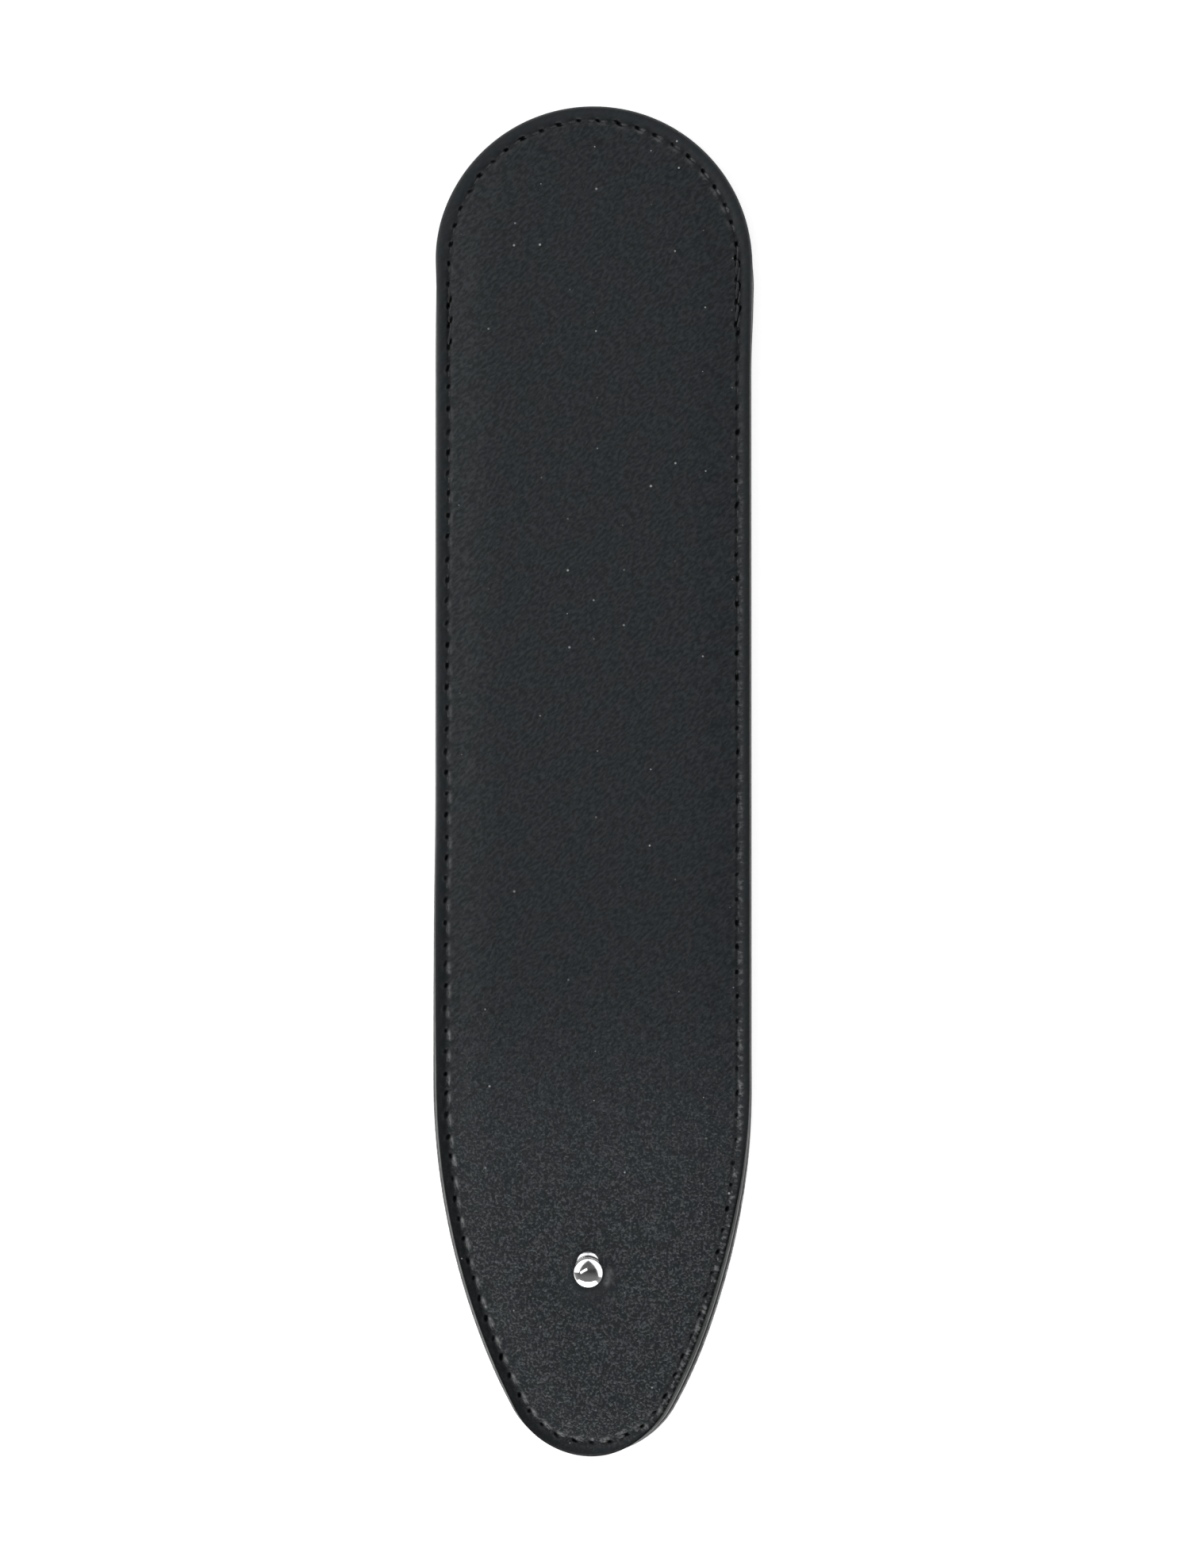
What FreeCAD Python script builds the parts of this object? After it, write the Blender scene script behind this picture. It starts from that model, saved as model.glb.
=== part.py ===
"""Leather slip sheath: a long face panel with a shorter pocket panel sewn behind it and a rivet near the tip.

The sheath lies on its pocket side. X runs across it, Y from the tip to the rounded top and Z up through the
layers. The origin is at the middle of the length and width, at the height of the surface that it lies on.
All sizes are in millimetres.
"""

import FreeCAD, Part
import math
import os
import Sketcher

# Driving dimensions. Each is a cell of the sheet with an alias of the same name.
SIZES = {
    # Outline: a half-round top, straight sides, two long side arcs and a round nose
    "sheath_length": 170.0,
    "half_width": 20.0,
    "side_arc_radius": 92.0,
    "nose_radius": 11.4,
    "mouth_drop": 18.5,
    # Layers, from the pocket's outside to the face
    "leather": 0.9,
    "lining": 0.35,
    "board": 0.4,
    "welt_height": 0.9,
    # Distances in from the outline
    "flush": 0.0,
    "channel_outer": 1.45,
    "seam_inset": 1.8,
    "channel_inner": 2.6,
    "field_inset": 3.1,
    "board_inset": 3.8,
    "welt_width": 4.0,
    # Edges, channel and facing
    "edge_round": 0.35,
    "field_chamfer": 0.3,
    "channel_depth": 0.35,
    "facing_depth": 8.0,
    # Stitches
    "thread_radius": 0.22,
    "seam_stitches": 131,
    "stitch_gap": 0.55,
    "mouth_stitches": 12,
    "mouth_row_half": 15.2,
    "tack_stitches": 3,
    "tack_offset": 0.46,
    # Rivet
    "rivet_x": -0.65,
    "rivet_from_tip": 23.5,
    "post_radius": 0.9,
    "cap_radius": 1.9,
    "cap_rim": 0.45,
    "cap_rise": 0.75,
    "cap_socket": 0.6,
    "washer_radius": 2.6,
    "washer_thickness": 0.35,
    "washer_sink": 0.2,
    "back_cap_radius": 2.4,
    "back_cap_thickness": 0.45,
    "back_socket": 0.25,
}

# Heights of the layers' faces, as expressions that the features are bound to
POCKET_BORDER = "Sheet.board"
POCKET_INNER = POCKET_BORDER + " + Sheet.leather"
CAVITY_FLOOR = POCKET_INNER + " + Sheet.lining"
CAVITY_ROOF = CAVITY_FLOOR + " + Sheet.welt_height"
FACE_INNER = CAVITY_ROOF + " + Sheet.lining"
FACE_BORDER = FACE_INNER + " + Sheet.leather"
FACE_FIELD = FACE_BORDER + " + Sheet.board"

# Places along the length
TOP_CENTRE = "Sheet.sheath_length / 2 - Sheet.half_width"
MOUTH = "Sheet.sheath_length / 2 - Sheet.mouth_drop"
FACING_END = MOUTH + " - Sheet.facing_depth"
PAST_MOUTH = MOUTH + " + Sheet.welt_width"
CHANNEL_END = MOUTH + " - Sheet.channel_outer"
# The side arcs start this far below the middle, so that the nose arc meets them smoothly at the tip.
TAPER_DROP = (
    "Sheet.sheath_length / 2 - Sheet.nose_radius"
    " - sqrt((Sheet.side_arc_radius - Sheet.nose_radius)^2 - (Sheet.side_arc_radius - Sheet.half_width)^2)"
)
RIVET_Y = "Sheet.rivet_from_tip - Sheet.sheath_length / 2"

Z_AXIS = FreeCAD.Vector(0, 0, 1)
X_AXIS = FreeCAD.Vector(1, 0, 0)
START, END, CENTRE = 1, 2, 3
ORIGIN = (-1, 1)
VERTICAL_AXIS = -2

doc = FreeCAD.newDocument("sheath")


def make_sheet():
    """The sheet that holds the driving dimensions."""
    made = doc.addObject("Spreadsheet::Sheet", "Sheet")
    for row, (name, value) in enumerate(SIZES.items(), start=1):
        made.set(f"A{row}", name)
        made.set(f"B{row}", str(value))
        made.setAlias(f"B{row}", name)
    doc.recompute()
    return made


sheet = make_sheet()


def size(name):
    """The number in the cell of that name."""
    return float(sheet.get(name))


def number(expression):
    """The value of an expression of the sheet's cells."""
    return float(sheet.evalExpression(expression))


def new_body(name):
    body = doc.addObject("PartDesign::Body", name)
    body.Label = name
    return body


def origin_plane(body, role):
    return next(item for item in body.Origin.OriginFeatures if item.Role == role)


def new_sketch(body, name, height="0", role="XY_Plane"):
    """A sketch on one of the body's own origin planes, moved along the plane's normal by height."""
    sketch = body.newObject("Sketcher::SketchObject", name)
    sketch.AttachmentSupport = (origin_plane(body, role), [""])
    sketch.MapMode = "FlatFace"
    sketch.setExpression("AttachmentOffset.Base.z", height)
    return sketch


def constrain(sketch, *constraint):
    return sketch.addConstraint(Sketcher.Constraint(*constraint))


def bind(sketch, name, expression, *constraint):
    """Adds a dimension, names it and binds it to an expression."""
    index = constrain(sketch, *constraint, number(expression))
    sketch.renameConstraint(index, name)
    sketch.setExpression(f"Constraints.{name}", expression)


def arc(centre_x, centre_y, radius, start_angle, end_angle):
    circle = Part.Circle(FreeCAD.Vector(centre_x, centre_y, 0), Z_AXIS, radius)
    return Part.ArcOfCircle(circle, start_angle, end_angle)


def segment(start_x, start_y, end_x, end_y):
    return Part.LineSegment(FreeCAD.Vector(start_x, start_y, 0), FreeCAD.Vector(end_x, end_y, 0))


def add_outline(sketch, inset, top=None):
    """Adds the sheath's outline, moved in by the inset cell, as a closed loop.

    With no top it ends in the half-round top. With a top expression it ends in a straight edge there, as the
    pocket does at its mouth. The loop runs top, left side, left arc, nose, right arc, right side.
    """
    first = sketch.GeometryCount
    edge, left_side, left_arc, nose, right_arc, right_side = range(first, first + 6)
    move = size(inset)
    side = size("half_width") - move
    side_radius = size("side_arc_radius") - move
    centre_x = size("side_arc_radius") - size("half_width")
    taper_y = -number(TAPER_DROP)
    nose_y = size("nose_radius") - size("sheath_length") / 2
    turn = math.atan2(taper_y - nose_y, centre_x)
    nose_radius = size("nose_radius") - move
    top_y = number(top or TOP_CENTRE)

    sketch.addGeometry(segment(side, top_y, -side, top_y) if top else arc(0, top_y, side, 0, math.pi))
    sketch.addGeometry(segment(-side, top_y, -side, taper_y))
    sketch.addGeometry(arc(centre_x, taper_y, side_radius, math.pi, math.pi + turn))
    sketch.addGeometry(arc(0, nose_y, nose_radius, math.pi + turn, 2 * math.pi - turn))
    sketch.addGeometry(arc(-centre_x, taper_y, side_radius, -turn, 0))
    sketch.addGeometry(segment(side, taper_y, side, top_y))

    joints = [(left_side, left_arc), (left_arc, nose), (nose, right_arc), (right_arc, right_side)]
    for before, after in joints:
        constrain(sketch, "Tangent", before, END, after, START)
    corner = "Coincident" if top else "Tangent"
    constrain(sketch, corner, edge, END, left_side, START)
    constrain(sketch, corner, right_side, END, edge, START)
    constrain(sketch, "Vertical", left_side)
    constrain(sketch, "Vertical", right_side)

    half = f"Sheet.half_width - Sheet.{inset}"
    if top:
        constrain(sketch, "Horizontal", edge)
        bind(sketch, f"top_{first}", top, "DistanceY", *ORIGIN, edge, START)
        bind(sketch, f"right_{first}", half, "DistanceX", *ORIGIN, right_side, START)
        bind(sketch, f"left_{first}", half, "DistanceX", left_side, START, *ORIGIN)
    else:
        constrain(sketch, "PointOnObject", edge, CENTRE, VERTICAL_AXIS)
        bind(sketch, f"top_{first}", TOP_CENTRE, "DistanceY", *ORIGIN, edge, CENTRE)
        bind(sketch, f"round_{first}", half, "Radius", edge)
    side_size = f"Sheet.side_arc_radius - Sheet.{inset}"
    for label, side_arc in (("left", left_arc), ("right", right_arc)):
        bind(sketch, f"{label}_arc_{first}", side_size, "Radius", side_arc)
        bind(sketch, f"{label}_drop_{first}", TAPER_DROP, "DistanceY", side_arc, CENTRE, *ORIGIN)
    bind(sketch, f"nose_{first}", f"Sheet.nose_radius - Sheet.{inset}", "Radius", nose)


def pad(body, sketch, height):
    feature = body.newObject("PartDesign::Pad", f"{sketch.Name}_pad")
    feature.Profile = sketch
    feature.setExpression("Length", height)
    sketch.Visibility = False
    doc.recompute()
    return feature


def pocket(body, sketch, depth, upward):
    """Cuts the sketch into the body and makes sure that something was cut."""
    volume = body.Shape.Volume
    feature = body.newObject("PartDesign::Pocket", f"{sketch.Name}_pocket")
    feature.Profile = sketch
    feature.Reversed = upward
    feature.setExpression("Length", depth)
    sketch.Visibility = False
    doc.recompute()
    if body.Shape.Volume >= volume:
        raise ValueError(f"{feature.Name} cuts nothing")
    return feature


def layer(name, low, height, inset="flush", top=None):
    """A flat piece with the sheath's outline: a board, lining, panel or welt blank."""
    body = new_body(name)
    sketch = new_sketch(body, f"{name}_outline", low)
    add_outline(sketch, inset, top)
    pad(body, sketch, height)
    return body


def rivet_hole(body, radius, low, depth, name):
    """A round hole or recess for the rivet, cut upward from the height called low."""
    sketch = new_sketch(body, name, low)
    hole = sketch.addGeometry(Part.Circle(FreeCAD.Vector(size("rivet_x"), number(RIVET_Y), 0), Z_AXIS, 1))
    bind(sketch, "rivet_radius", radius, "Radius", hole)
    bind(sketch, "rivet_side", "-Sheet.rivet_x", "DistanceX", hole, CENTRE, *ORIGIN)
    bind(sketch, "rivet_below", f"-({RIVET_Y})", "DistanceY", hole, CENTRE, *ORIGIN)
    pocket(body, sketch, depth, upward=True)


def outline_edges(shape, height, inset):
    """Names of the edges at that height that run along the outline at that inset."""
    reach = size("half_width") - size(inset)
    found = []
    for index, edge in enumerate(shape.Edges, start=1):
        box = edge.BoundBox
        flat = abs(box.ZMin - height) < 1e-4 and abs(box.ZMax - height) < 1e-4
        if flat and abs(max(abs(box.XMin), abs(box.XMax)) - reach) < 1e-3 and box.YLength > 1:
            found.append(f"Edge{index}")
    return found


def dress(body, kind, value, height, inset):
    """Rounds or chamfers the edges that run along the outline. Tangent edges follow."""
    base = body.Tip
    feature = body.newObject(f"PartDesign::{kind}", f"{body.Name}_{kind.lower()}")
    feature.Base = (base, outline_edges(base.Shape, height, inset))
    feature.setExpression("Radius" if kind == "Fillet" else "Size", value)
    doc.recompute()


def formed_panel(name, inner, outward, top=None):
    """An outer leather panel: flat border, field raised over its board, stitch channel and rivet hole.

    inner is the height of its inner face, and outward is 1 when the panel's outside faces up and -1 when it
    faces down.
    """
    border = f"{inner} + {outward} * Sheet.leather"
    field = f"{border} + {outward} * Sheet.board"
    up = outward > 0
    body = layer(name, inner if up else border, "Sheet.leather", top=top)

    raised = new_sketch(body, f"{name}_field", border if up else field)
    add_outline(raised, "field_inset", top and f"{top} - Sheet.field_inset")
    pad(body, raised, "Sheet.board")

    recess = new_sketch(body, f"{name}_recess", inner)
    add_outline(recess, "board_inset", top and f"{top} - Sheet.board_inset")
    pocket(body, recess, "Sheet.board", upward=up)

    channel = new_sketch(body, f"{name}_channel", border)
    add_outline(channel, "channel_outer", top and f"{top} - Sheet.channel_outer")
    add_outline(channel, "channel_inner", top and f"{top} - Sheet.channel_inner")
    pocket(body, channel, "Sheet.channel_depth", upward=not up)

    low = inner if up else field
    rivet_hole(body, "Sheet.post_radius", low, "Sheet.leather + Sheet.board", f"{name}_rivet_hole")
    dress(body, "Fillet", "Sheet.edge_round", number(border), "flush")
    dress(body, "Chamfer", "Sheet.field_chamfer", number(field), "field_inset")
    return body


def make_face():
    """The long face panel with its board and lining."""
    panel = formed_panel("face_panel", FACE_INNER, outward=1)
    sink = f"{FACE_FIELD} - Sheet.washer_sink"
    rivet_hole(panel, "Sheet.washer_radius", sink, "Sheet.washer_sink", "face_washer_recess")
    stiffener = layer("face_stiffener", FACE_INNER, "Sheet.board", "board_inset")
    rivet_hole(stiffener, "Sheet.post_radius", FACE_INNER, "Sheet.board", "face_stiffener_rivet_hole")
    lining = layer("face_lining", CAVITY_ROOF, "Sheet.lining")
    rivet_hole(lining, "Sheet.post_radius", CAVITY_ROOF, "Sheet.lining", "face_lining_rivet_hole")
    return [panel, stiffener, lining]


def make_pocket():
    """The pocket panel with its board and lining, and the facing strip inside its mouth."""
    panel = formed_panel("pocket_panel", POCKET_INNER, outward=-1, top=MOUTH)
    rivet_hole(panel, "Sheet.back_cap_radius", "0", "Sheet.back_cap_thickness", "pocket_cap_recess")
    board_low = f"{POCKET_INNER} - Sheet.board"
    stiffener = layer(
        "pocket_stiffener", board_low, "Sheet.board", "board_inset", f"{MOUTH} - Sheet.board_inset"
    )
    rivet_hole(stiffener, "Sheet.post_radius", board_low, "Sheet.board", "pocket_stiffener_rivet_hole")
    lining = layer("pocket_lining", POCKET_INNER, "Sheet.lining", top=FACING_END)
    rivet_hole(lining, "Sheet.post_radius", POCKET_INNER, "Sheet.lining", "pocket_lining_rivet_hole")
    return [panel, stiffener, lining, make_facing()]


def make_facing():
    """The leather strip inside the mouth, level with the lining below it."""
    strip = doc.addObject("Part::Box", "mouth_facing")
    strip.Label = "mouth_facing"
    strip.setExpression("Length", "2 * Sheet.half_width")
    strip.setExpression("Width", "Sheet.facing_depth")
    strip.setExpression("Height", "Sheet.lining")
    strip.setExpression("Placement.Base.x", "-Sheet.half_width")
    strip.setExpression("Placement.Base.y", FACING_END)
    strip.setExpression("Placement.Base.z", POCKET_INNER)
    return strip


def make_welt():
    """The U-shaped spacer strip between the panels, open at the mouth."""
    body = layer("welt", CAVITY_FLOOR, "Sheet.welt_height", top=MOUTH)
    inside = new_sketch(body, "welt_inside", CAVITY_FLOOR)
    add_outline(inside, "welt_width", PAST_MOUTH)
    pocket(body, inside, "Sheet.welt_height", upward=True)
    return body


def thread_run(length):
    """One visible stitch: a run of thread along X with round ends, centred on the origin."""
    radius = size("thread_radius")
    half = length / 2 - radius
    left = FreeCAD.Vector(-half - radius, 0, 0)
    right = FreeCAD.Vector(half + radius, 0, 0)
    left_rim = FreeCAD.Vector(-half, radius, 0)
    right_rim = FreeCAD.Vector(half, radius, 0)
    bend = radius * math.sqrt(0.5)
    edges = [
        Part.Arc(left, FreeCAD.Vector(-half - bend, bend, 0), left_rim).toShape(),
        Part.makeLine(left_rim, right_rim),
        Part.Arc(right_rim, FreeCAD.Vector(half + bend, bend, 0), right).toShape(),
        Part.makeLine(right, left),
    ]
    return Part.Face(Part.Wire(edges)).revolve(FreeCAD.Vector(), X_AXIS, 360)


def stitch_between(start, end, height):
    """A stitch along the line from one needle hole to the next, at that height."""
    run = end - start
    solid = thread_run(run.Length - size("stitch_gap"))
    middle = (start + end) / 2
    middle.z = height
    solid.Placement = FreeCAD.Placement(middle, FreeCAD.Rotation(X_AXIS, run))
    return solid


def stitch_group(name, stitches):
    """All stitches of one row as a group of separate solids."""
    group = doc.addObject("Part::Feature", name)
    group.Label = name
    group.Shape = Part.makeCompound(stitches)
    return group


def seam_line():
    """The line that the perimeter seam follows, as a sketch of its own."""
    sketch = doc.addObject("Sketcher::SketchObject", "seam_line")
    add_outline(sketch, "seam_inset")
    doc.recompute()
    return sketch


def seam_runs(line):
    """The seam's stitches, each from one needle hole to the next, evenly spaced along the seam line."""
    wire = Part.Wire(Part.sortEdges(line.Shape.Edges)[0])
    holes = wire.discretize(Number=int(size("seam_stitches")) + 1)
    return list(zip(holes, holes[1:]))


def tack_stitches(runs, height):
    """The seam's second pass over the stitches just below both mouth corners."""
    offset = FreeCAD.Vector(size("tack_offset"), 0, 0)
    count = int(size("tack_stitches"))
    channel_end = number(CHANNEL_END)
    stitches = []
    for side in (-1, 1):
        below = [run for run in runs if run[0].x * side > 0 and max(run[0].y, run[1].y) < channel_end]
        below.sort(key=lambda run: -max(run[0].y, run[1].y))
        stitches += [stitch_between(a - offset * side, b - offset * side, height) for a, b in below[:count]]
    return stitches


def make_seam():
    """The perimeter seam's needle thread on the face and bobbin thread at the back."""
    runs = seam_runs(seam_line())
    radius = size("thread_radius")
    face_height = number(FACE_BORDER) - size("channel_depth") + radius
    pocket_height = number(POCKET_BORDER) + size("channel_depth") - radius
    lining_height = number(CAVITY_ROOF) - radius
    face_stitches = [stitch_between(start, end, face_height) for start, end in runs]
    back_stitches = []
    for start, end in runs:
        if max(start.y, end.y) < number(CHANNEL_END):
            back_stitches.append(stitch_between(start, end, pocket_height))
        elif min(start.y, end.y) > number(MOUTH):
            back_stitches.append(stitch_between(start, end, lining_height))
    return [
        stitch_group("seam_needle_thread", face_stitches + tack_stitches(runs, face_height)),
        stitch_group("seam_bobbin_thread", back_stitches + tack_stitches(runs, pocket_height)),
    ]


def make_mouth_row():
    """The row of stitches across the mouth, which holds the facing strip."""
    half = size("mouth_row_half")
    count = int(size("mouth_stitches"))
    radius = size("thread_radius")
    row = number(MOUTH) - size("seam_inset")
    pitch = 2 * half / count
    holes = [FreeCAD.Vector(-half + index * pitch, row, 0) for index in range(count + 1)]
    runs = list(zip(holes, holes[1:]))
    outside = number(POCKET_BORDER) + size("channel_depth") - radius
    inside = number(CAVITY_FLOOR) + radius
    return [
        stitch_group("mouth_needle_thread", [stitch_between(start, end, outside) for start, end in runs]),
        stitch_group("mouth_bobbin_thread", [stitch_between(start, end, inside) for start, end in runs]),
    ]


def place_on_rivet(piece, height):
    piece.setExpression("Placement.Base.x", "Sheet.rivet_x")
    piece.setExpression("Placement.Base.y", RIVET_Y)
    piece.setExpression("Placement.Base.z", height)


def round_piece(name, radius, height):
    """A plain cylinder on the rivet's axis, to be placed or cut."""
    cylinder = doc.addObject("Part::Cylinder", name)
    cylinder.setExpression("Radius", radius)
    cylinder.setExpression("Height", height)
    return cylinder


def cut_piece(name, base, tool, height):
    """The base with the tool cut from it, placed on the rivet's axis at that height."""
    piece = doc.addObject("Part::Cut", name)
    piece.Label = name
    piece.Base = base
    piece.Tool = tool
    place_on_rivet(piece, height)
    return piece


def make_rivet_cap(height):
    """The domed cap: a short rim, a round dome and a socket underneath for the post."""
    body = new_body("rivet_cap")
    sketch = new_sketch(body, "rivet_cap_profile", role="XZ_Plane")
    cap = size("cap_radius")
    post = size("post_radius")
    rim = size("cap_rim")
    rise = size("cap_rise")
    socket = size("cap_socket")
    sphere = (cap**2 + rise**2) / (2 * rise)
    lines = [
        segment(0, socket, post, socket),
        segment(post, socket, post, 0),
        segment(post, 0, cap, 0),
        segment(cap, 0, cap, rim),
        arc(0, rim + rise - sphere, sphere, math.asin((sphere - rise) / sphere), math.pi / 2),
        segment(0, rim + rise, 0, socket),
    ]
    for line in lines:
        sketch.addGeometry(line)
    ceiling, wall, seat, edge, dome, axis = range(6)
    for before, after in ((ceiling, wall), (wall, seat), (seat, edge), (edge, dome), (dome, axis)):
        constrain(sketch, "Coincident", before, END, after, START)
    constrain(sketch, "Coincident", axis, END, ceiling, START)
    constrain(sketch, "Horizontal", ceiling)
    constrain(sketch, "Vertical", wall)
    constrain(sketch, "Horizontal", seat)
    constrain(sketch, "Vertical", edge)
    constrain(sketch, "PointOnObject", dome, CENTRE, VERTICAL_AXIS)
    constrain(sketch, "PointOnObject", axis, START, VERTICAL_AXIS)
    constrain(sketch, "PointOnObject", axis, END, VERTICAL_AXIS)
    constrain(sketch, "PointOnObject", seat, START, -1)
    bind(sketch, "socket_depth", "Sheet.cap_socket", "DistanceY", *ORIGIN, ceiling, START)
    bind(sketch, "post_fit", "Sheet.post_radius", "DistanceX", *ORIGIN, wall, END)
    bind(sketch, "cap_size", "Sheet.cap_radius", "DistanceX", *ORIGIN, seat, END)
    bind(sketch, "rim_height", "Sheet.cap_rim", "DistanceY", edge, START, edge, END)
    bind(sketch, "cap_height", "Sheet.cap_rim + Sheet.cap_rise", "DistanceY", *ORIGIN, axis, START)
    spin = body.newObject("PartDesign::Revolution", "rivet_cap_spin")
    spin.Profile = sketch
    spin.ReferenceAxis = (sketch, ["V_Axis"])
    spin.Angle = 360
    sketch.Visibility = False
    place_on_rivet(body, height)
    return body


def make_rivet():
    """The rivet through the tip: cap, washer, post and back cap."""
    washer_seat = f"{FACE_FIELD} - Sheet.washer_sink"
    cap_seat = f"{washer_seat} + Sheet.washer_thickness"
    post_foot = "Sheet.back_cap_thickness - Sheet.back_socket"
    washer = cut_piece(
        "rivet_washer",
        round_piece("washer_disc", "Sheet.washer_radius", "Sheet.washer_thickness"),
        round_piece("washer_hole", "Sheet.post_radius", "Sheet.washer_thickness"),
        washer_seat,
    )
    socket = round_piece("back_cap_socket", "Sheet.post_radius", "Sheet.back_socket")
    socket.setExpression("Placement.Base.z", post_foot)
    back_cap = cut_piece(
        "rivet_back_cap",
        round_piece("back_cap_disc", "Sheet.back_cap_radius", "Sheet.back_cap_thickness"),
        socket,
        "0",
    )
    post = round_piece("rivet_post", "Sheet.post_radius", f"{cap_seat} + Sheet.cap_socket - ({post_foot})")
    post.Label = "rivet_post"
    place_on_rivet(post, post_foot)
    return [make_rivet_cap(cap_seat), washer, post, back_cap]


def check_document(pieces):
    """Stops if any object failed to compute or any piece has no valid solid."""
    for item in doc.Objects:
        if {"Invalid", "Error"} & set(item.State):
            raise ValueError(f"{item.Name} failed: {item.State}")
    for piece in pieces:
        shape = piece.Shape
        if shape.isNull() or not shape.isValid() or not shape.Solids:
            raise ValueError(f"{piece.Label} has no valid solid")


def write_pieces(pieces):
    os.makedirs("parts", exist_ok=True)
    for piece in pieces:
        piece.Shape.exportStep(f"parts/{piece.Label}.step")
        box = piece.Shape.BoundBox
        print(
            f"{piece.Label:20s} solids {len(piece.Shape.Solids):4d}  volume {piece.Shape.Volume:9.2f}"
            f"  z {box.ZMin:6.3f} to {box.ZMax:6.3f}"
        )


pieces = make_face() + make_pocket() + [make_welt()] + make_seam() + make_mouth_row() + make_rivet()
doc.recompute()
check_document(pieces)
write_pieces(pieces)
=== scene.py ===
"""Looks of the leather slip sheath: formed panels, painted edges, sewn thread and a bright rivet."""

import math

import bmesh
import bpy
import numpy as np
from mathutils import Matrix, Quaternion, Vector


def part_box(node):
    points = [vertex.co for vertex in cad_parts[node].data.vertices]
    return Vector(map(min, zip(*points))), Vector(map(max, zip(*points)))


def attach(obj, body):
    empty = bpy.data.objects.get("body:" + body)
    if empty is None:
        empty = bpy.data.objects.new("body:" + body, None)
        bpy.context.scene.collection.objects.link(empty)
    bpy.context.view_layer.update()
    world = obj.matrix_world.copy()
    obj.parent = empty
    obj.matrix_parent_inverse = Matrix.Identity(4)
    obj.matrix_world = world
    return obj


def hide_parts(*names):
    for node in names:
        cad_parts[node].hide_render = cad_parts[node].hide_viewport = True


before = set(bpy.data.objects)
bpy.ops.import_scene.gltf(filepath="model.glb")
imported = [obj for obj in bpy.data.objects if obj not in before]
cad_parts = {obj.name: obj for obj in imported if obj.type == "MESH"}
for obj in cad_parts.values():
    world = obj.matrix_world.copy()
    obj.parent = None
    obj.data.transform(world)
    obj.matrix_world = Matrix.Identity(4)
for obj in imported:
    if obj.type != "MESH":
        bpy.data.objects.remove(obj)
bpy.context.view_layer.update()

MM = 0.001

# === Sizes read from the frame, in metres ===
FACE_LOW, FACE_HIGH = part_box("face_panel")
FACE_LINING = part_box("face_lining")
POCKET_LOW, POCKET_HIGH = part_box("pocket_panel")
POCKET_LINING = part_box("pocket_lining")
FACING_LOW, FACING_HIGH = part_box("mouth_facing")
WELT_LOW, WELT_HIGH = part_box("welt")
BOARD_LOW, BOARD_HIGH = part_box("face_stiffener")
WASHER_LOW, WASHER_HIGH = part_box("rivet_washer")
CAP_LOW, CAP_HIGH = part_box("rivet_cap")
BACK_CAP_LOW, BACK_CAP_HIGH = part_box("rivet_back_cap")

HALF_WIDTH = FACE_HIGH.x
TOP_Y = FACE_HIGH.y
TIP_Y = FACE_LOW.y
MOUTH_Y = POCKET_HIGH.y
BOARD = BOARD_HIGH.z - BOARD_LOW.z
FACE_BORDER_Z = FACE_HIGH.z - BOARD
POCKET_BORDER_Z = POCKET_LOW.z + BOARD
RIVET_X = (CAP_LOW.x + CAP_HIGH.x) / 2
RIVET_Y = (CAP_LOW.y + CAP_HIGH.y) / 2

# Radii of the outline that a box can't tell
SIDE_ARC = 92.0 * MM
NOSE = 11.4 * MM
WELT_WIDTH = 4.0 * MM

# === The outline ===
# s is the distance along it from the middle of the top, clockwise seen from above
TOP_CENTRE_Y = TOP_Y - HALF_WIDTH
NOSE_CENTRE_Y = TIP_Y + NOSE
ARC_CENTRE_X = SIDE_ARC - HALF_WIDTH
TAPER_Y = NOSE_CENTRE_Y + math.sqrt((SIDE_ARC - NOSE) ** 2 - ARC_CENTRE_X**2)
TURN = math.atan2(TAPER_Y - NOSE_CENTRE_Y, ARC_CENTRE_X)
TOP_LENGTH = HALF_WIDTH * math.pi / 2
SIDE_LENGTH = TOP_CENTRE_Y - TAPER_Y
TAPER_LENGTH = SIDE_ARC * TURN
NOSE_LENGTH = NOSE * (math.pi / 2 - TURN)
HALF_LOOP = TOP_LENGTH + SIDE_LENGTH + TAPER_LENGTH + NOSE_LENGTH
LOOP = 2 * HALF_LOOP
MOUTH_S = TOP_LENGTH - (MOUTH_Y - TOP_CENTRE_Y)


# The arcs of the right half: where each starts and ends along it, its centre, radius and first direction
ARCS = (
    (0, TOP_LENGTH, 0, TOP_CENTRE_Y, HALF_WIDTH, math.pi / 2),
    (TOP_LENGTH + SIDE_LENGTH, HALF_LOOP - NOSE_LENGTH, -ARC_CENTRE_X, TAPER_Y, SIDE_ARC, 0),
    (HALF_LOOP - NOSE_LENGTH, HALF_LOOP, 0, NOSE_CENTRE_Y, NOSE, -TURN),
)


def outline_point(s):
    """Points of the outline and its outward normals, for an array of distances along it."""
    s = np.mod(np.asarray(s, float), LOOP)
    side = np.where(s <= HALF_LOOP, 1.0, -1.0)
    along = np.where(s <= HALF_LOOP, s, LOOP - s)
    x = np.full_like(along, HALF_WIDTH)
    y = TOP_CENTRE_Y + TOP_LENGTH - along
    nx = np.ones_like(along)
    ny = np.zeros_like(along)
    for start, end, centre_x, centre_y, radius, first in ARCS:
        on_arc = (along >= start) & (along <= end)
        angle = first - (along[on_arc] - start) / radius
        nx[on_arc] = np.cos(angle)
        ny[on_arc] = np.sin(angle)
        x[on_arc] = centre_x + radius * nx[on_arc]
        y[on_arc] = centre_y + radius * ny[on_arc]
    return x * side, y, nx * side, ny


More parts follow.
